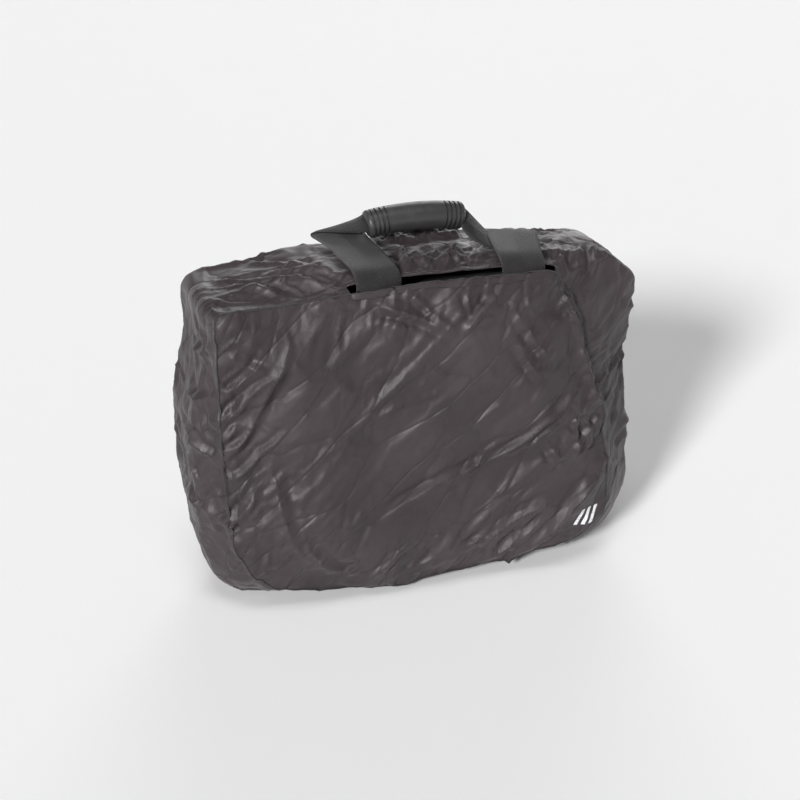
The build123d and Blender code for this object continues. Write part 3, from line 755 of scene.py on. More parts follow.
def zone_creases():
    """Seeded short creases for every zone, in the same form as the drawn ones."""
    rng = np.random.default_rng(CLOTH_SEED)
    for plane, across, up, direction, spread, count, shortest, longest, width, rise in ZONES:
        for _ in range(count):
            middle = np.array((rng.uniform(*across), rng.uniform(*up)))
            angle = math.radians(direction + rng.normal(0, spread / 2))
            way = np.array((math.cos(angle), math.sin(angle))) * rng.uniform(shortest, longest) / 2
            sag = np.array((-way[1], way[0])) * rng.uniform(-0.25, 0.25)
            size = rng.uniform(0.7, 1.3)
            height = 0.68 * rise * size * rng.choice((1, 1, -0.8))
            yield plane, [middle - way, middle + sag, middle + way], width * size, height


def line_distance(points, line):
    """Signed distance to a line through the plane, and how far along it the nearest place is, 0 to 1."""
    line = np.asarray(line, float)
    lengths = np.linalg.norm(np.diff(line, axis=0), axis=1)
    total, before = lengths.sum(), 0.0
    best = np.full(len(points), 1e9)
    signed, along = np.zeros(len(points)), np.zeros(len(points))
    for a, b, length in zip(line[:-1], line[1:], lengths):
        way = (b - a) / length
        t = np.clip((points - a) @ way, 0, length)
        off = points - (a + t[:, None] * way)
        distance = np.linalg.norm(off, axis=1)
        near = distance < best
        best = np.where(near, distance, best)
        side = np.sign(way[0] * off[:, 1] - way[1] * off[:, 0])
        signed = np.where(near, distance * side, signed)
        along = np.where(near, (before + t) / total, along)
        before += length
    return signed, along


def catmull(rows, steps):
    """A smooth run through rows of values, with that many steps between two rows."""
    rows = np.asarray(rows, float)
    out = []
    for k in range(len(rows) - 1):
        p0, p1, p2, p3 = rows[max(k - 1, 0)], rows[k], rows[k + 1], rows[min(k + 2, len(rows) - 1)]
        square, cube = 2 * p0 - 5 * p1 + 4 * p2 - p3, 3 * p1 - p0 - 3 * p2 + p3
        for t in np.arange(steps) / steps:
            out.append(0.5 * (2 * p1 + (p2 - p0) * t + square * t**2 + cube * t**3))
    return np.array(out + [rows[-1]])


def press_creases(points, normals):
    """How far each point moves along its normal: each crease is a sharp ridge with a hollow beside it."""
    rise = np.zeros(len(points))
    waver = 3.0 * np.stack([fractal(points, 0.04, 21, 2), fractal(points, 0.04, 22, 2)], axis=1)
    for (across, up, side), line, width, height in CREASES + list(zone_creases()):
        axis = 3 - across - up
        facing = smoothstep(0.25, 0.6, normals[:, axis] * side)
        flat = points[:, (across, up)] / MM + waver
        low, high = np.min(line, axis=0) - 5 * width, np.max(line, axis=0) + 5 * width
        near = np.nonzero(((flat > low) & (flat < high)).all(1) & (facing > 0))[0]
        if not len(near):
            continue
        facing = facing[near]
        distance, along = line_distance(flat[near], catmull(line, 8))
        q = distance / width
        ridge = np.exp(-np.abs(q) * 1.3)
        ridge = ridge - 0.55 * np.exp(-((q - 1.7) ** 2) * 1.4) - 0.15 * np.exp(-((q + 2.2) ** 2))
        ends = smoothstep(-0.02, 0.25, along) * smoothstep(1.02, 0.7, along)
        rise[near] += height * MM * ridge * ends * facing
    return rise


def crumple(co, normals):
    """Adds the drawn creases, and a net of small ones, calmer in the middle of the front and on the sides."""
    front_facing = smoothstep(0.2, 0.7, -normals[:, 1])
    side_facing = smoothstep(0.3, 0.8, np.abs(normals[:, 0]))
    edge = np.maximum(np.abs(co[:, 0]) / HALF, np.abs(co[:, 2] - CENTRE_Z) / CENTRE_Z)
    calm = (1 - 0.75 * front_facing * (1 - smoothstep(0.35, 1.0, edge))) * (1 - 0.45 * side_facing)
    patch = smoothstep(-0.25, 0.35, fractal(co, 0.11, 31, 2))
    net = 1.5 * crease_net(co, 0.17, 0.055, 3.2 * MM, 5)
    net = net + 0.8 * patch * crease_net(co, 0.075, 0.026, 2.6 * MM, 9)
    return co + normals * (2.0 * press_creases(co, normals) + 0.85 * MM * calm * net)[:, None]


def gather_hem(co):
    """The elastic draws the hem into folds that run out from the mouth."""
    fold_pitch, fold_height = 0.019, 3.6 * MM
    turn = np.arctan2(co[:, 2] - CENTRE_Z, co[:, 0])
    reach = np.hypot(co[:, 0], co[:, 2] - CENTRE_Z)
    mouth_reach, back_reach = radius_at(mouth_outline, turn), radius_at(back_outline, turn)
    drawn = smoothstep(1.0, 0.0, np.clip((reach - mouth_reach) / (back_reach - mouth_reach), 0, 1))
    drawn *= smoothstep(0.066, 0.074, co[:, 1]) * smoothstep(-0.05, 0.12, (reach - mouth_reach) / 0.05)
    around = np.interp(turn % (2 * math.pi), cut.turns, cut.around)
    wave = np.sin(2 * math.pi * (around / fold_pitch + 0.8 * fractal(co * (1, 0.2, 1), 0.07, 41, 2)))
    co[:, 1] += drawn * fold_height * (wave - 0.35)


TOP_FROM = 0.36  # the cloth higher than this lies on top of the bag


def over_box(co, across, deep):
    """1 on top of the bag inside a box, fading to 0 round it.
    Each way takes four values in mm: where it leaves 0, reaches 1, leaves 1 and reaches 0."""
    out = co[:, 2] > TOP_FROM
    for k, (start, full, fade, end) in enumerate((across, deep)):
        out = out * smoothstep(start, full, co[:, k] / MM) * smoothstep(end, fade, co[:, k] / MM)
    return out


def press_under_straps(co):
    """The handle's webbing holds the top of the cover down where it lies on it."""
    for low, high in ((-100, -34), (72, 152)):
        under = over_box(co, (low - 12, low, high, high + 12), (-86, -70, 50, 64))
        limit = (382.0 - 0.0035 * np.abs(co[:, 1] / MM) ** 1.5) * MM
        co[:, 2] = np.where(co[:, 2] > limit, co[:, 2] + (limit - co[:, 2]) * under, co[:, 2])


def heap_behind_grip(co):
    """Between the straps the cloth stands up in puckers."""
    heap = over_box(co, (-36, -16, 54, 76), (6, 24, 46, 66))
    puckers = np.abs(fractal(co * (1, 0.45, 1), 0.016, 61, 2)) + 0.5 * np.abs(fractal(co, 0.009, 62, 2))
    co[:, 2] += heap * MM * (9.5 - 7.0 * puckers)


FRONT_ROOM = 14 * MM  # how far the cloth may stand in front of the CAD
cover = mesh_object("cover", draped, cloth_faces)
sub = cover.modifiers.new("Subdivision", "SUBSURF")
sub.levels = sub.render_levels = 1
apply_modifiers(cover)
co = crumple(coordinates(cover), np.array([v.normal for v in cover.data.vertices]))
gather_hem(co)
press_under_straps(co)
heap_behind_grip(co)
co[:, 2] = np.maximum(co[:, 2], 0.0)
co[:, 1] = np.maximum(co[:, 1], cad_box[0].y - FRONT_ROOM)
set_coordinates(cover, co)
cover.data.shade_smooth()


# ---------------------------------------------------------------- the cover's pieces
def dress(obj, body, slot_name, nodes=()):
    """Gives a piece its material and the body it moves with, and hides the CAD nodes it stands for."""
    obj.data.materials.clear()
    obj.data.materials.append(MATERIALS[slot_name])
    if body:
        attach(obj, body)
    if nodes:
        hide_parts(*nodes)
    return obj


def flat_area(faces):
    """The area of those faces in the flat pattern."""
    total = 0.0
    for f in faces:
        p = [np.array(cloth_place[k]) for k in f]
        if any(cloth_panel[k] for k in f):
            seam = [k for k in f if not cloth_panel[k]]
            for n, k in enumerate(f):
                if not cloth_panel[k]:
                    p[n] = np.array((cut.seam_s[k % cut.count], 0.0))
            near = next(q for q, k in zip(p, f) if cloth_panel[k])[0] if len(seam) < 3 else 0
            p = [q + ((round((near - q[0]) / cut.length)) * cut.length, 0) for q in p]
        (a, b), (c, d) = p[1] - p[0], p[2] - p[0]
        total += 0.5 * abs(a * d - c * b)
    return total


front_count = int((cloth_panel == 0).sum())
TOP_SEAM, BOTTOM_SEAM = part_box("cover_top_panel")[0].z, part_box("cover_bottom_panel")[1].z


def panel_of(face):
    """Which of the cover's panels a face of the pattern belongs to."""
    if all(k < front_count for k in face):
        return "front"
    middle = cloth_points[list(face)].mean(0)
    if max(cloth_place[k][1] for k in face if cloth_panel[k]) > RUN[3] + 0.5 * GRAIN:
        return "back_hem"
    if middle[2] > TOP_SEAM:
        return "top"
    if middle[2] < BOTTOM_SEAM:
        return "bottom"
    return "left" if middle[0] < 0 else "right"


owner = [panel_of(f) for f in cloth_faces]
# subdivision makes one quad for each corner of a face, in the faces' order
fine_owner = [name for name, f in zip(owner, cloth_faces) for _ in f]
fine_faces = [tuple(f.vertices) for f in cover.data.polygons]
whole_normals = [tuple(v.normal) for v in cover.data.vertices]
cover_points = coordinates(cover)
# the smallest rectangles, in metres, that the panels could be cut from
PATTERN = {"front": (0.49, 0.37), "top": (0.60, 0.18), "bottom": (0.62, 0.18)}
PATTERN |= {"left": (0.27, 0.18), "right": (0.27, 0.18), "back_hem": (1.72, 0.05)}
for name in ("front", "top", "left", "right", "bottom", "back_hem"):
    picked = [f for f, o in zip(fine_faces, fine_owner) if o == name]
    used = sorted({k for f in picked for k in f})
    new_index = {k: i for i, k in enumerate(used)}
    faces = [[new_index[k] for k in f] for f in picked]
    piece = mesh_object(f"cover_{name}_cloth", cover_points[used], faces)
    if name != "front":
        piece.data.normals_split_custom_set_from_vertices([whole_normals[k] for k in used])
    node = "cover_back_hem" if name == "back_hem" else f"cover_{name}_panel"
    dress(piece, "bag", "cover_nylon", [node])
    area = flat_area([f for f, o in zip(cloth_faces, owner) if o == name])
bpy.data.objects.remove(cover)
cover_tree = BVHTree.FromPolygons([tuple(p) for p in cover_points], fine_faces)


def on_cover(x, z, lift=0.0):
    """The place on the cover's front at that x and z, lifted off the cloth."""
    hit, normal, _, _ = cover_tree.ray_cast(Vector((x, -1, z)), Vector((0, 1, 0)))
    if normal.y > 0:
        normal = -normal
    return np.array(hit + normal * lift)


def bands(rows, size, first=0, closed=False):
    """Faces between rows of points: a row closes on itself, and the rows may too."""
    faces = []
    for i in range(rows if closed else rows - 1):
        low, high = first + i * size, first + (i + 1) % rows * size
        for k in range(size):
            m = (k + 1) % size
            faces.append((low + k, low + m, high + m, high + k))
    return faces


def tube(name, path, radius, sides, swell=None):
    """A round closed tube along a path in metres, with UVs in metres."""
    path = np.asarray(path, float)
    n = len(path)
    ahead = np.roll(path, -1, 0) - np.roll(path, 1, 0)
    ahead /= np.linalg.norm(ahead, axis=1)[:, None]
    side = np.cross(ahead, (0.0, 1.0, 0.0) if abs(ahead[:, 1]).mean() < 0.7 else (1.0, 0.0, 0.0))
    side /= np.linalg.norm(side, axis=1)[:, None]
    up = np.cross(side, ahead)
    points = []
    for i in range(n):
        r = radius * (swell[i] if swell is not None else 1.0)
        for k in range(sides):
            a = 2 * math.pi * k / sides
            points.append(path[i] + r * (side[i] * math.cos(a) + up[i] * math.sin(a)))
    obj = mesh_object(name, points, bands(n, sides, closed=True))
    distance = np.concatenate([[0], np.cumsum(np.linalg.norm(np.diff(path, axis=0), axis=1))])
    uv = [(distance[i], radius * 2 * math.pi * k / sides) for i in range(n) for k in range(sides)]
    set_uv(obj, uv)
    return obj


def set_uv(obj, uv):
    """Gives the object UVs, one for each of its points."""
    layer = obj.data.uv_layers.new(name="UVMap")
    for loop in obj.data.loops:
        layer.data[loop.index].uv = uv[loop.vertex_index]


def ribbon(name, left, right, thick, steps, columns):
    """A tape between two edges given in metres: it has thickness, thin rounded edges and UVs in metres."""
    left, right = catmull(left, steps), catmull(right, steps)
    n = len(left)
    centre, across = (left + right) / 2, right - left
    ahead = np.gradient(centre, axis=0)
    normal = np.cross(across, ahead)
    normal /= np.linalg.norm(normal, axis=1)[:, None]
    distance = np.concatenate([[0], np.cumsum(np.linalg.norm(np.diff(centre, axis=0), axis=1))])
    ring = [(v, 1) for v in np.linspace(-1, 1, columns)] + [(v, -1) for v in np.linspace(1, -1, columns)]
    points, uv = [], []
    for i in range(n):
        half = np.linalg.norm(across[i]) / 2
        for v, face in ring:
            edge = math.sqrt(max(0.0, 1 - abs(v) ** 14)) * 0.5 + 0.12
            out = centre[i] + across[i] * v / 2 + normal[i] * thick * edge * face
            points.append(out)
            uv.append((distance[i], v * half))
    size = len(ring)
    faces = []
    for i in range(n - 1):
        for k in range(size):
            m = (k + 1) % size
            faces.append((i * size + k, (i + 1) * size + k, (i + 1) * size + m, i * size + m))
    faces.append(tuple(range(size)))
    faces.append(tuple((n - 1) * size + k for k in range(size))[::-1])
    obj = mesh_object(name, points, faces)
    set_uv(obj, uv)
    return obj


THREAD_SIDES = 5


def stitch_row(name, path, length, gap, thread, lift, slot_name="tape"):
    """A row of stitches along a path: each is a short thread that dips at both ends.
    Length, gap, the thread's radius and the lift off the cloth are in mm."""
    length, gap, thread, lift = length * MM, gap * MM, thread * MM, np.asarray(lift) * MM
    path = np.asarray(path, float)
    distance = np.concatenate([[0], np.cumsum(np.linalg.norm(np.diff(path, axis=0), axis=1))])
    points, faces = [], []
    at = gap
    while at + length < distance[-1]:
        spots = []
        for share in (0.0, 0.5, 1.0):
            d = at + share * length
            p = np.array([np.interp(d, distance, path[:, k]) for k in range(3)])
            spots.append(p + lift * (0.2 + 0.8 * math.sin(math.pi * share)))
        way = spots[2] - spots[0]
        way /= np.linalg.norm(way)
        side = np.cross(way, lift / np.linalg.norm(lift))
        up = np.cross(side, way)
        first = len(points)
        for share, p in zip((0.35, 1.0, 0.35), spots):
            for k in range(THREAD_SIDES):
                a = 2 * math.pi * k / THREAD_SIDES
                points.append(p + thread * share * (side * math.cos(a) + up * math.sin(a)))
        faces += bands(3, THREAD_SIDES, first)
        faces.append(tuple(first + k for k in range(THREAD_SIDES))[::-1])
        faces.append(tuple(first + 2 * THREAD_SIDES + k for k in range(THREAD_SIDES)))
        at += length + gap
    return dress(mesh_object(name, points, faces), "bag", slot_name)


seam_path = cover_points[: cut.count]
seam = tube("cover_front_seam", seam_path + (0, -0.3 * MM, 0), 0.9 * MM, 6)
dress(seam, "bag", "tape", ["seam_binding"])


# ---------------------------------------------------------------- the bag inside
def inside_cover(points, clear):
    """Draws points that are outside the cloth, or nearer to it than that, back inside."""
    out = points.copy()
    for i, p in enumerate(points):
        near, normal, _, _ = cover_tree.find_nearest(Vector(p))
        depth = (Vector(p) - near).dot(normal)
        if depth > -clear:
            out[i] = near - normal * clear
    return out


for part in ("front_wall", "left_wall", "right_wall", "floor", "roof_front", "roof_back"):
    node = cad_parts["bag_" + part]
    wall = bpy.data.objects.new(f"bag_{part}_cloth", node.data.copy())
    bpy.context.scene.collection.objects.link(wall)
    remesh = wall.modifiers.new("Remesh", "REMESH")
    remesh.mode, remesh.voxel_size = "VOXEL", 5 * MM
    apply_modifiers(wall)
    relaxed = wall.modifiers.new("Smooth", "SMOOTH")
    relaxed.factor, relaxed.iterations = 0.5, 3
    apply_modifiers(wall)
    settled = inside_cover(coordinates(wall), 2.5 * MM)
    settled[:, 2] += 0.8 * MM * fractal(settled, 0.05, 71, 2)
    set_coordinates(wall, settled)
    wall.data.shade_smooth()
    dress(wall, "bag", "polyester", ["bag_" + part])

# three slanted bars printed on the cloth: their lean and width are shares of the mark's width
mark_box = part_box("reflective_mark")
mark_points, mark_faces = [], []
MARK_LEAN = 0.25
bar_width, bar_count, rows, columns = 0.15, 3, 12, 4
mark_low, mark_high = np.array(mark_box[0]), np.array(mark_box[1])
for bar in range(bar_count):
    first = len(mark_points)
    for i in range(rows + 1):
        for j in range(columns + 1):
            rise = i / rows
            share = bar / (bar_count - 1) * (1 - bar_width - MARK_LEAN)
            share = share + bar_width * j / columns + MARK_LEAN * rise
            x = mark_low[0] + (mark_high[0] - mark_low[0]) * share
            z = mark_low[2] + (mark_high[2] - mark_low[2]) * rise
            mark_points.append(on_cover(x, z, 0.35 * MM))
    for i in range(rows):
        for j in range(columns):
            k = first + i * (columns + 1) + j
            mark_faces.append((k, k + 1, k + columns + 2, k + columns + 1))
dress(mesh_object("printed_mark", mark_points, mark_faces), "bag", "print", ["reflective_mark"])

# ---------------------------------------------------------------- handle
LEFT_STRAP = [
    ((-86, -80.6, 310), (-36, -80.6, 310)),
    ((-86, -80.6, 362), (-36, -80.6, 362)),
    ((-86.5, -78, 376), (-36.5, -78, 377)),
    ((-88, -66, 385), (-39, -66, 387)),
    ((-91, -40, 388), (-42, -42, 391)),
    ((-93, 0, 388.5), (-45, -8, 393)),
    ((-98, 32, 388), (-46, 20, 395)),
    ((-101, 45, 388.5), (-47, 33, 399)),
    ((-100, 47, 392), (-47, 33, 404)),
    ((-91, 36, 396), (-47, 27, 411)),
    ((-74, 18, 399), (-47, 20, 417)),
    ((-60, 8, 400), (-46.5, 16.5, 421)),
    ((-47, 4, 401), (-44, 15, 422)),
]
RIGHT_STRAP = [
    ((78, -80.6, 310), (128, -80.6, 310)),
    ((78, -80.6, 362), (128, -80.6, 362)),
    ((78, -78, 376), (128, -78, 375)),
    ((77, -66, 385.5), (129, -66, 384)),
    ((79, -42, 391), (134, -46, 388.5)),
    ((85, -14, 393), (139, -28, 390)),
    ((92, -2, 392), (144, -18, 388.5)),
    ((93, 0, 389.5), (143, -17, 385)),
    ((92, -2, 387), (130, -30, 384)),
    ((90, -1, 388.5), (104, -44, 384.5)),
    ((86, 3, 394), (82, -50, 386)),
    ((77, 8, 405), (68, -34, 388.5)),
    ((68, 13, 415), (61, -14, 393)),
    ((59, 15, 421), (58, 4, 401)),
]
for side, edges in (("left", LEFT_STRAP), ("right", RIGHT_STRAP)):
    left = [np.array(e[0]) * MM for e in edges]
    right = [np.array(e[1]) * MM for e in edges]
    strap = ribbon("handle_webbing_" + side, left, right, 2.4 * MM, steps=8, columns=14)
    dress(strap, None, "webbing", ["handle_leg_" + side, "handle_riser_" + side])
    x = (left[1][0] + right[1][0]) / 2
    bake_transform(strap)


# ---------------------------------------------------------------- the slot's stitched edges
def on_top(x, y, lift=0.0):
    """The place on the cover's top at that x and y, lifted off the cloth."""
    return np.array(cover_tree.ray_cast(Vector((x, y, 1)), Vector((0, 0, -1)))[0]) + (0, 0, lift)


rear = [k for k in range(front_count, len(cloth_place)) if abs(cloth_place[k][1] - SLOT_DEPTH) < 0.1 * GRAIN]
rear = [k for k in rear if cut.slot[0] - 1e-4 < cloth_place[k][0] < cut.slot[1] + 1e-4]
rear = cover_points[sorted(rear, key=lambda k: cloth_place[k][0])][::3]
rear_back = np.array([on_top(p[0], p[1] + 7 * MM, 0.5 * MM) for p in rear])
slot_hem = ribbon("slot_rear_hem", rear + (0, -0.4 * MM, 0.6 * MM), rear_back, 0.9 * MM, steps=3, columns=6)
dress(slot_hem, "bag", "cover_nylon", ["slot_facing"])
lifted = np.array([on_top(p[0], p[1] + 5.2 * MM, 1.1 * MM) for p in rear])
stitch_row("slot_rear_stitches", lifted, 2.6, 1.3, 0.32, (0, 0, 0.5))

lip = [k for k in range(cut.count) if cut.slot[0] - 1e-4 < cut.seam_s[k] < cut.slot[1] + 1e-4]
lip = cover_points[lip][::3]
lip_low = np.array([on_cover(p[0], p[2] - 7 * MM, 0.5 * MM) for p in lip])
front_hem = ribbon("slot_front_hem", lip + (0, -0.5 * MM, 0.4 * MM), lip_low, 0.9 * MM, steps=3, columns=6)
dress(front_hem, "bag", "cover_nylon")
lip_stitch = np.array([on_cover(p[0], p[2] - 5.4 * MM, 1.0 * MM) for p in lip])
stitch_row("slot_front_stitches", lip_stitch, 2.6, 1.3, 0.32, (0, -0.5, 0))


# ---------------------------------------------------------------- the mounting side
def grid_sheet(name, xs, zs, surface):
    """A sheet over a grid of x and z in metres, where surface gives y; it faces the back."""
    points = [(x, surface(x, z), z) for z in zs for x in xs]
    n = len(xs)
    faces = []
    for j in range(len(zs) - 1):
        for i in range(n - 1):
            k = j * n + i
            faces.append((k, k + n, k + n + 1, k + 1))
    obj = mesh_object(name, points, faces)
    set_uv(obj, [(p[0], p[2]) for p in points])
    return obj


def ease(distance, width):
    """0 at an edge, rising smoothly to 1 at that distance in."""
    return float(smoothstep(0.0, width, distance))


# the hem's elastic casing, ruffled along its length
CASING_STEPS = 420
mouth_turns = np.linspace(0, 2 * math.pi, CASING_STEPS, endpoint=False)
mouth_radius = radius_at(mouth_outline, mouth_turns)
mouth_x, mouth_z = mouth_radius * np.cos(mouth_turns), CENTRE_Z + mouth_radius * np.sin(mouth_turns)
mouth_path = np.stack([mouth_x, np.full(CASING_STEPS, HEM_Y), mouth_z], axis=1)
ruffle = fractal(mouth_path, 0.012, 51, 2)
mouth_path[:, 1] += 0.9 * MM * fractal(mouth_path, 0.022, 52, 2)
casing_swell = 1.0 + 0.32 * np.sin(np.arange(CASING_STEPS) * 2.1) + 0.3 * ruffle
casing = tube("hem_casing", mouth_path, 3.9 * MM, 12, swell=casing_swell)
dress(casing, "bag", "cover_nylon")

# the padded back wall, quilted in rows
wall_low, wall_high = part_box("bag_back_wall")
ROW, CHANNEL = 0.042, 0.0045  # the quilting's pitch, and half the width of the groove between two rows


def back_pad():
    """A closed pad: a quilted face, an edge that rounds over, and a flat inner face."""
    xs = np.linspace(wall_low.x, wall_high.x, 190)
    zs = np.linspace(wall_low.z, wall_high.z, 150)
    corner = 0.045
    thick = wall_high.y - wall_low.y
    points, faces = [], []
    for side in (0, 1):
        for z in zs:
            for x in xs:
                dx = max(abs(x) - (wall_high.x - corner), 0)
                dz = max(wall_low.z + corner - z, z - (wall_high.z - corner), 0)
                reach = math.hypot(dx, dz)
                pull = corner / reach if reach > corner else 1.0
                px = math.copysign(abs(x) - dx + dx * pull, x)
                pz = z - (dz - dz * pull) * (1 if z > (wall_low.z + wall_high.z) / 2 else -1)
                border = min(wall_high.x - abs(px), pz - wall_low.z, wall_high.z - pz)
                border = min(border, corner - reach * pull + 1e-4)
                row = abs((pz - wall_low.z - 0.018) % ROW - ROW / 2)
                groove = math.exp(-(((ROW / 2 - row) / CHANNEL) ** 2))
                puff = 0.72 + 0.28 * (1 - (row / (ROW / 2)) ** 2)
                face = wall_low.y + thick * (0.35 + 0.65 * ease(border, 0.010) * puff * (1 - 0.55 * groove))
                points.append((px, face if side else wall_low.y, pz))
    n, m = len(xs), len(zs)
    for side in (0, 1):
        for j in range(m - 1):
            for i in range(n - 1):
                k = side * n * m + j * n + i
                quad = (k, k + n, k + n + 1, k + 1)
                faces.append(quad if side else quad[::-1])
    rim = list(range(n)) + [j * n + n - 1 for j in range(1, m)]
    rim += [(m - 1) * n + i for i in range(n - 2, -1, -1)] + [j * n for j in range(m - 2, 0, -1)]
    for a, b in zip(rim, rim[1:] + rim[:1]):
        faces.append((a, a + n * m, b + n * m, b))
    return mesh_object("back_pad", points, faces)


pad = back_pad()
pad_points = coordinates(pad)
outer = pad_points[:, 1] > wall_low.y + 2 * MM
pad_points[:, 1] -= outer * np.abs(fractal(pad_points, 0.03, 61, 3)) * 1.1 * MM
set_coordinates(pad, pad_points)
dress(pad, "bag", "polyester", ["bag_back_wall"])

# the sleeve for a sissy bar: a bowed sheet sewn down along both sides
sleeve_low, sleeve_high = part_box("sissy_bar_sleeve")
sleeve_half = sleeve_high.x


def sleeve_surface(x, z):
    """How far back the sleeve stands: flat at its sewn sides, bowed and a little slack between them."""
    rise = ease(sleeve_half - abs(x), 0.017) ** 0.6
    slack = 1.3 * MM * noise.fractal(Vector((x, 0, z)) / 0.06, 1.0, 2.0, 3)
    return sleeve_low.y + 0.6 * MM + (sleeve_high.y - sleeve_low.y - 1.6 * MM) * rise - abs(slack) * rise


edge_xs = sleeve_half - 0.017 * np.linspace(0, 1, 10) ** 1.6
xs = np.concatenate([-edge_xs, np.linspace(-edge_xs[-1], edge_xs[-1], 70)[1:-1], edge_xs[::-1]])
zs = np.linspace(sleeve_low.z, sleeve_high.z, 60)
sleeve = grid_sheet("sleeve_cloth", xs, zs, sleeve_surface)
thicken = sleeve.modifiers.new("Solidify", "SOLIDIFY")
thicken.thickness, thicken.offset = 1.4 * MM, -1
dress(sleeve, "bag", "polyester", ["sissy_bar_sleeve"])
for name, z, way in (("top", sleeve_high.z, 1), ("bottom", sleeve_low.z, -1)):
    line = np.array([(x, sleeve_surface(x, z) + 0.5 * MM, z) for x in xs])
    outer_edge, inner_edge = line + (0, 0, 0.8 * MM * way), line - (0, 0, 9 * MM * way)
    binding = ribbon(f"sleeve_binding_{name}", outer_edge, inner_edge, 1.0 * MM, 1, 8)
    dress(binding, "bag", "tape")
    seam_line = line - (0, -0.9 * MM, 6.5 * MM * way)
    stitch_row(f"sleeve_stitches_{name}", seam_line, 3.0, 1.4, 0.35, (0, 0.5, 0), "webbing")


def flat_strap(name, nodes, path, z, width, thick):
    """A tape in the plane of x and y, standing on its edge round the height z."""
    path = np.array([(x, y, z) for x, y in path]) * MM
    half = (0, 0, width / 2 * MM)
    strap = ribbon(name, path - half, path + half, thick * MM, steps=5, columns=12)
    return dress(strap, "bag", "webbing", nodes)


for level in ("upper", "lower"):
    for side, sign in (("left", -1), ("right", 1)):
        node = f"strap_{level}_{side}"
        low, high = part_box(node)
        z = (low.z + high.z) / 2 / MM
        root, run = low.y / MM + 0.9, high.y / MM - 0.9
        tip = (high.x if sign < 0 else low.x) / MM
        path = [(204, root), (186, root), (160, root + 0.2), (152, root + 1.5), (146, 79.5)]
        path += [(139, run - 1), (128, run), (90, run + 0.15), (50, run - 0.1)]
        path = [(sign * x, y) for x, y in path] + [(tip, run)]
        flat_strap(f"{node}_webbing", [node], path, z, 25, 1.8)
        box = [(188, -9), (166, -9), (166, 9), (188, 9), (188, -9), (166, 9)]
        box_path = np.array([(sign * x, root + 1.2, z + up) for x, up in box]) * MM
        stitch_row(f"{node}_stitches", box_path, 2.4, 1.2, 0.35, (0, 0.4, 0))

for level in ("upper", "lower"):
    for side in ("left", "right"):
        node = f"ring_loop_{level}_{side}"
        low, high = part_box(node)
        x = (low.x + high.x) / 2 / MM
        ring_z, tail = low.z / MM + 3.45, high.z / MM
        ring_y = (low.y + high.y) / 2 / MM
        reach = 2.75
        path = [(70.95, tail), (70.95, ring_z + 14), (71.0, ring_z + 5)]
        for turn in np.radians([180, 225, 270, 315, 360, 405]):
            path.append((ring_y + reach * math.cos(turn), ring_z + reach * math.sin(turn)))
        path += [(73.2, ring_z + 5.5), (72.45, ring_z + 12), (72.4, tail)]
        edge_left = np.array([(x - 10.9, y, z) for y, z in path]) * MM
        edge_right = np.array([(x + 10.9, y, z) for y, z in path]) * MM
        dress(ribbon(f"{node}_webbing", edge_left, edge_right, 1.3 * MM, 4, 10), "bag", "webbing", [node])
        zigzag = [(x - 9.5 + 19 * k / 14, 73.1, ring_z + (16 if k % 2 else 20)) for k in range(15)]
        tack = np.array(zigzag) * MM
        stitch_row(f"{node}_tack", tack, 3.6, 0.5, 0.4, (0, 0.35, 0))


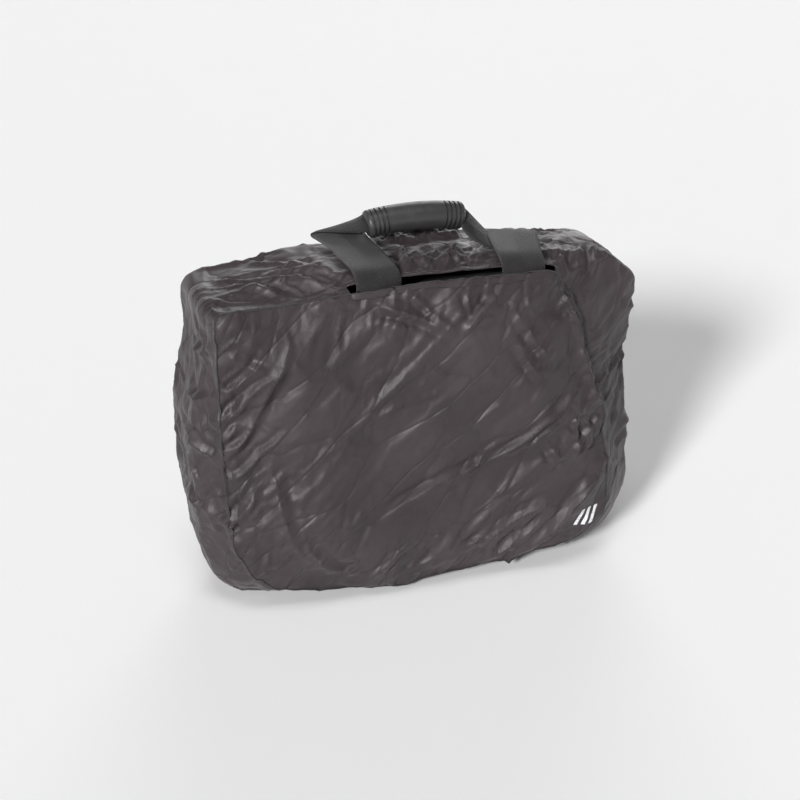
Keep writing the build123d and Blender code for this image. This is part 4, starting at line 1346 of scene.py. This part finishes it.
# ---------------------------------------------------------------- floor, light and camera
def add_camera():
    """The camera, at the angle from which the bag shows its front, its top and its left side."""
    azimuth, elevation, distance = math.radians(-18), math.radians(24), 1.84
    level = math.cos(elevation)
    back = Vector((math.sin(azimuth) * level, -math.cos(azimuth) * level, math.sin(elevation)))
    data = bpy.data.cameras.new("camera")
    data.lens, data.sensor_width = 72, 36
    camera = bpy.data.objects.new("camera", data)
    bpy.context.scene.collection.objects.link(camera)
    target = Vector((-0.012, 0, 0.197))
    camera.location = target + back * distance
    camera.rotation_mode = "QUATERNION"
    camera.rotation_quaternion = (-back).to_track_quat("-Z", "Y")
    bpy.context.scene.camera = camera


def add_sun(name, aim, power, spread):
    """A sun that shines along aim, with that spread in degrees."""
    data = bpy.data.lights.new(name, "SUN")
    data.energy, data.angle = power, math.radians(spread)
    light = bpy.data.objects.new(name, data)
    bpy.context.scene.collection.objects.link(light)
    light.rotation_mode = "QUATERNION"
    light.rotation_quaternion = Vector(aim).to_track_quat("-Z", "Y")


add_camera()
add_sun("key", (0.62, 0.68, -0.40), 3.8, 10)
add_sun("top", (0.10, 0.25, -1.0), 0.75, 24)
add_sun("back", (-0.35, -0.9, -0.40), 0.9, 30)
world = bpy.data.worlds.new("world")
bpy.context.scene.world = world
world.use_nodes = True
sky = world.node_tree.nodes["Background"]
sky.inputs["Color"].default_value = (1, 1, 1, 1)
sky.inputs["Strength"].default_value = 0.12
floor_material = bpy.data.materials.new("floor")
floor_material.use_nodes = True
floor_shader = floor_material.node_tree.nodes["Principled BSDF"]
floor_shader.inputs["Base Color"].default_value = (0.9, 0.9, 0.9, 1)
floor_shader.inputs["Roughness"].default_value = 0.9

# a round floor with a low wall at its far edge, so that a low view has no dark horizon
STAGE_RADIUS, STAGE_WALL, STAGE_SIDES = 14.0, 4.0, 96
stage_turns = np.arange(STAGE_SIDES) * 2 * math.pi / STAGE_SIDES
stage_rim = [(STAGE_RADIUS * math.cos(a), STAGE_RADIUS * math.sin(a)) for a in stage_turns]
floor = mesh_object("floor", [(x, y, 0) for x, y in stage_rim], [range(STAGE_SIDES)], smooth=False)
wall_points = [(x, y, z) for z in (0, STAGE_WALL) for x, y in stage_rim]
wall_faces = []
for i in range(STAGE_SIDES):
    j = (i + 1) % STAGE_SIDES
    wall_faces.append((j, i, i + STAGE_SIDES, j + STAGE_SIDES))
backdrop = mesh_object("backdrop", wall_points, wall_faces)
for piece in (floor, backdrop):
    piece.data.materials.append(floor_material)
bpy.context.scene.view_settings.view_transform = "Standard"
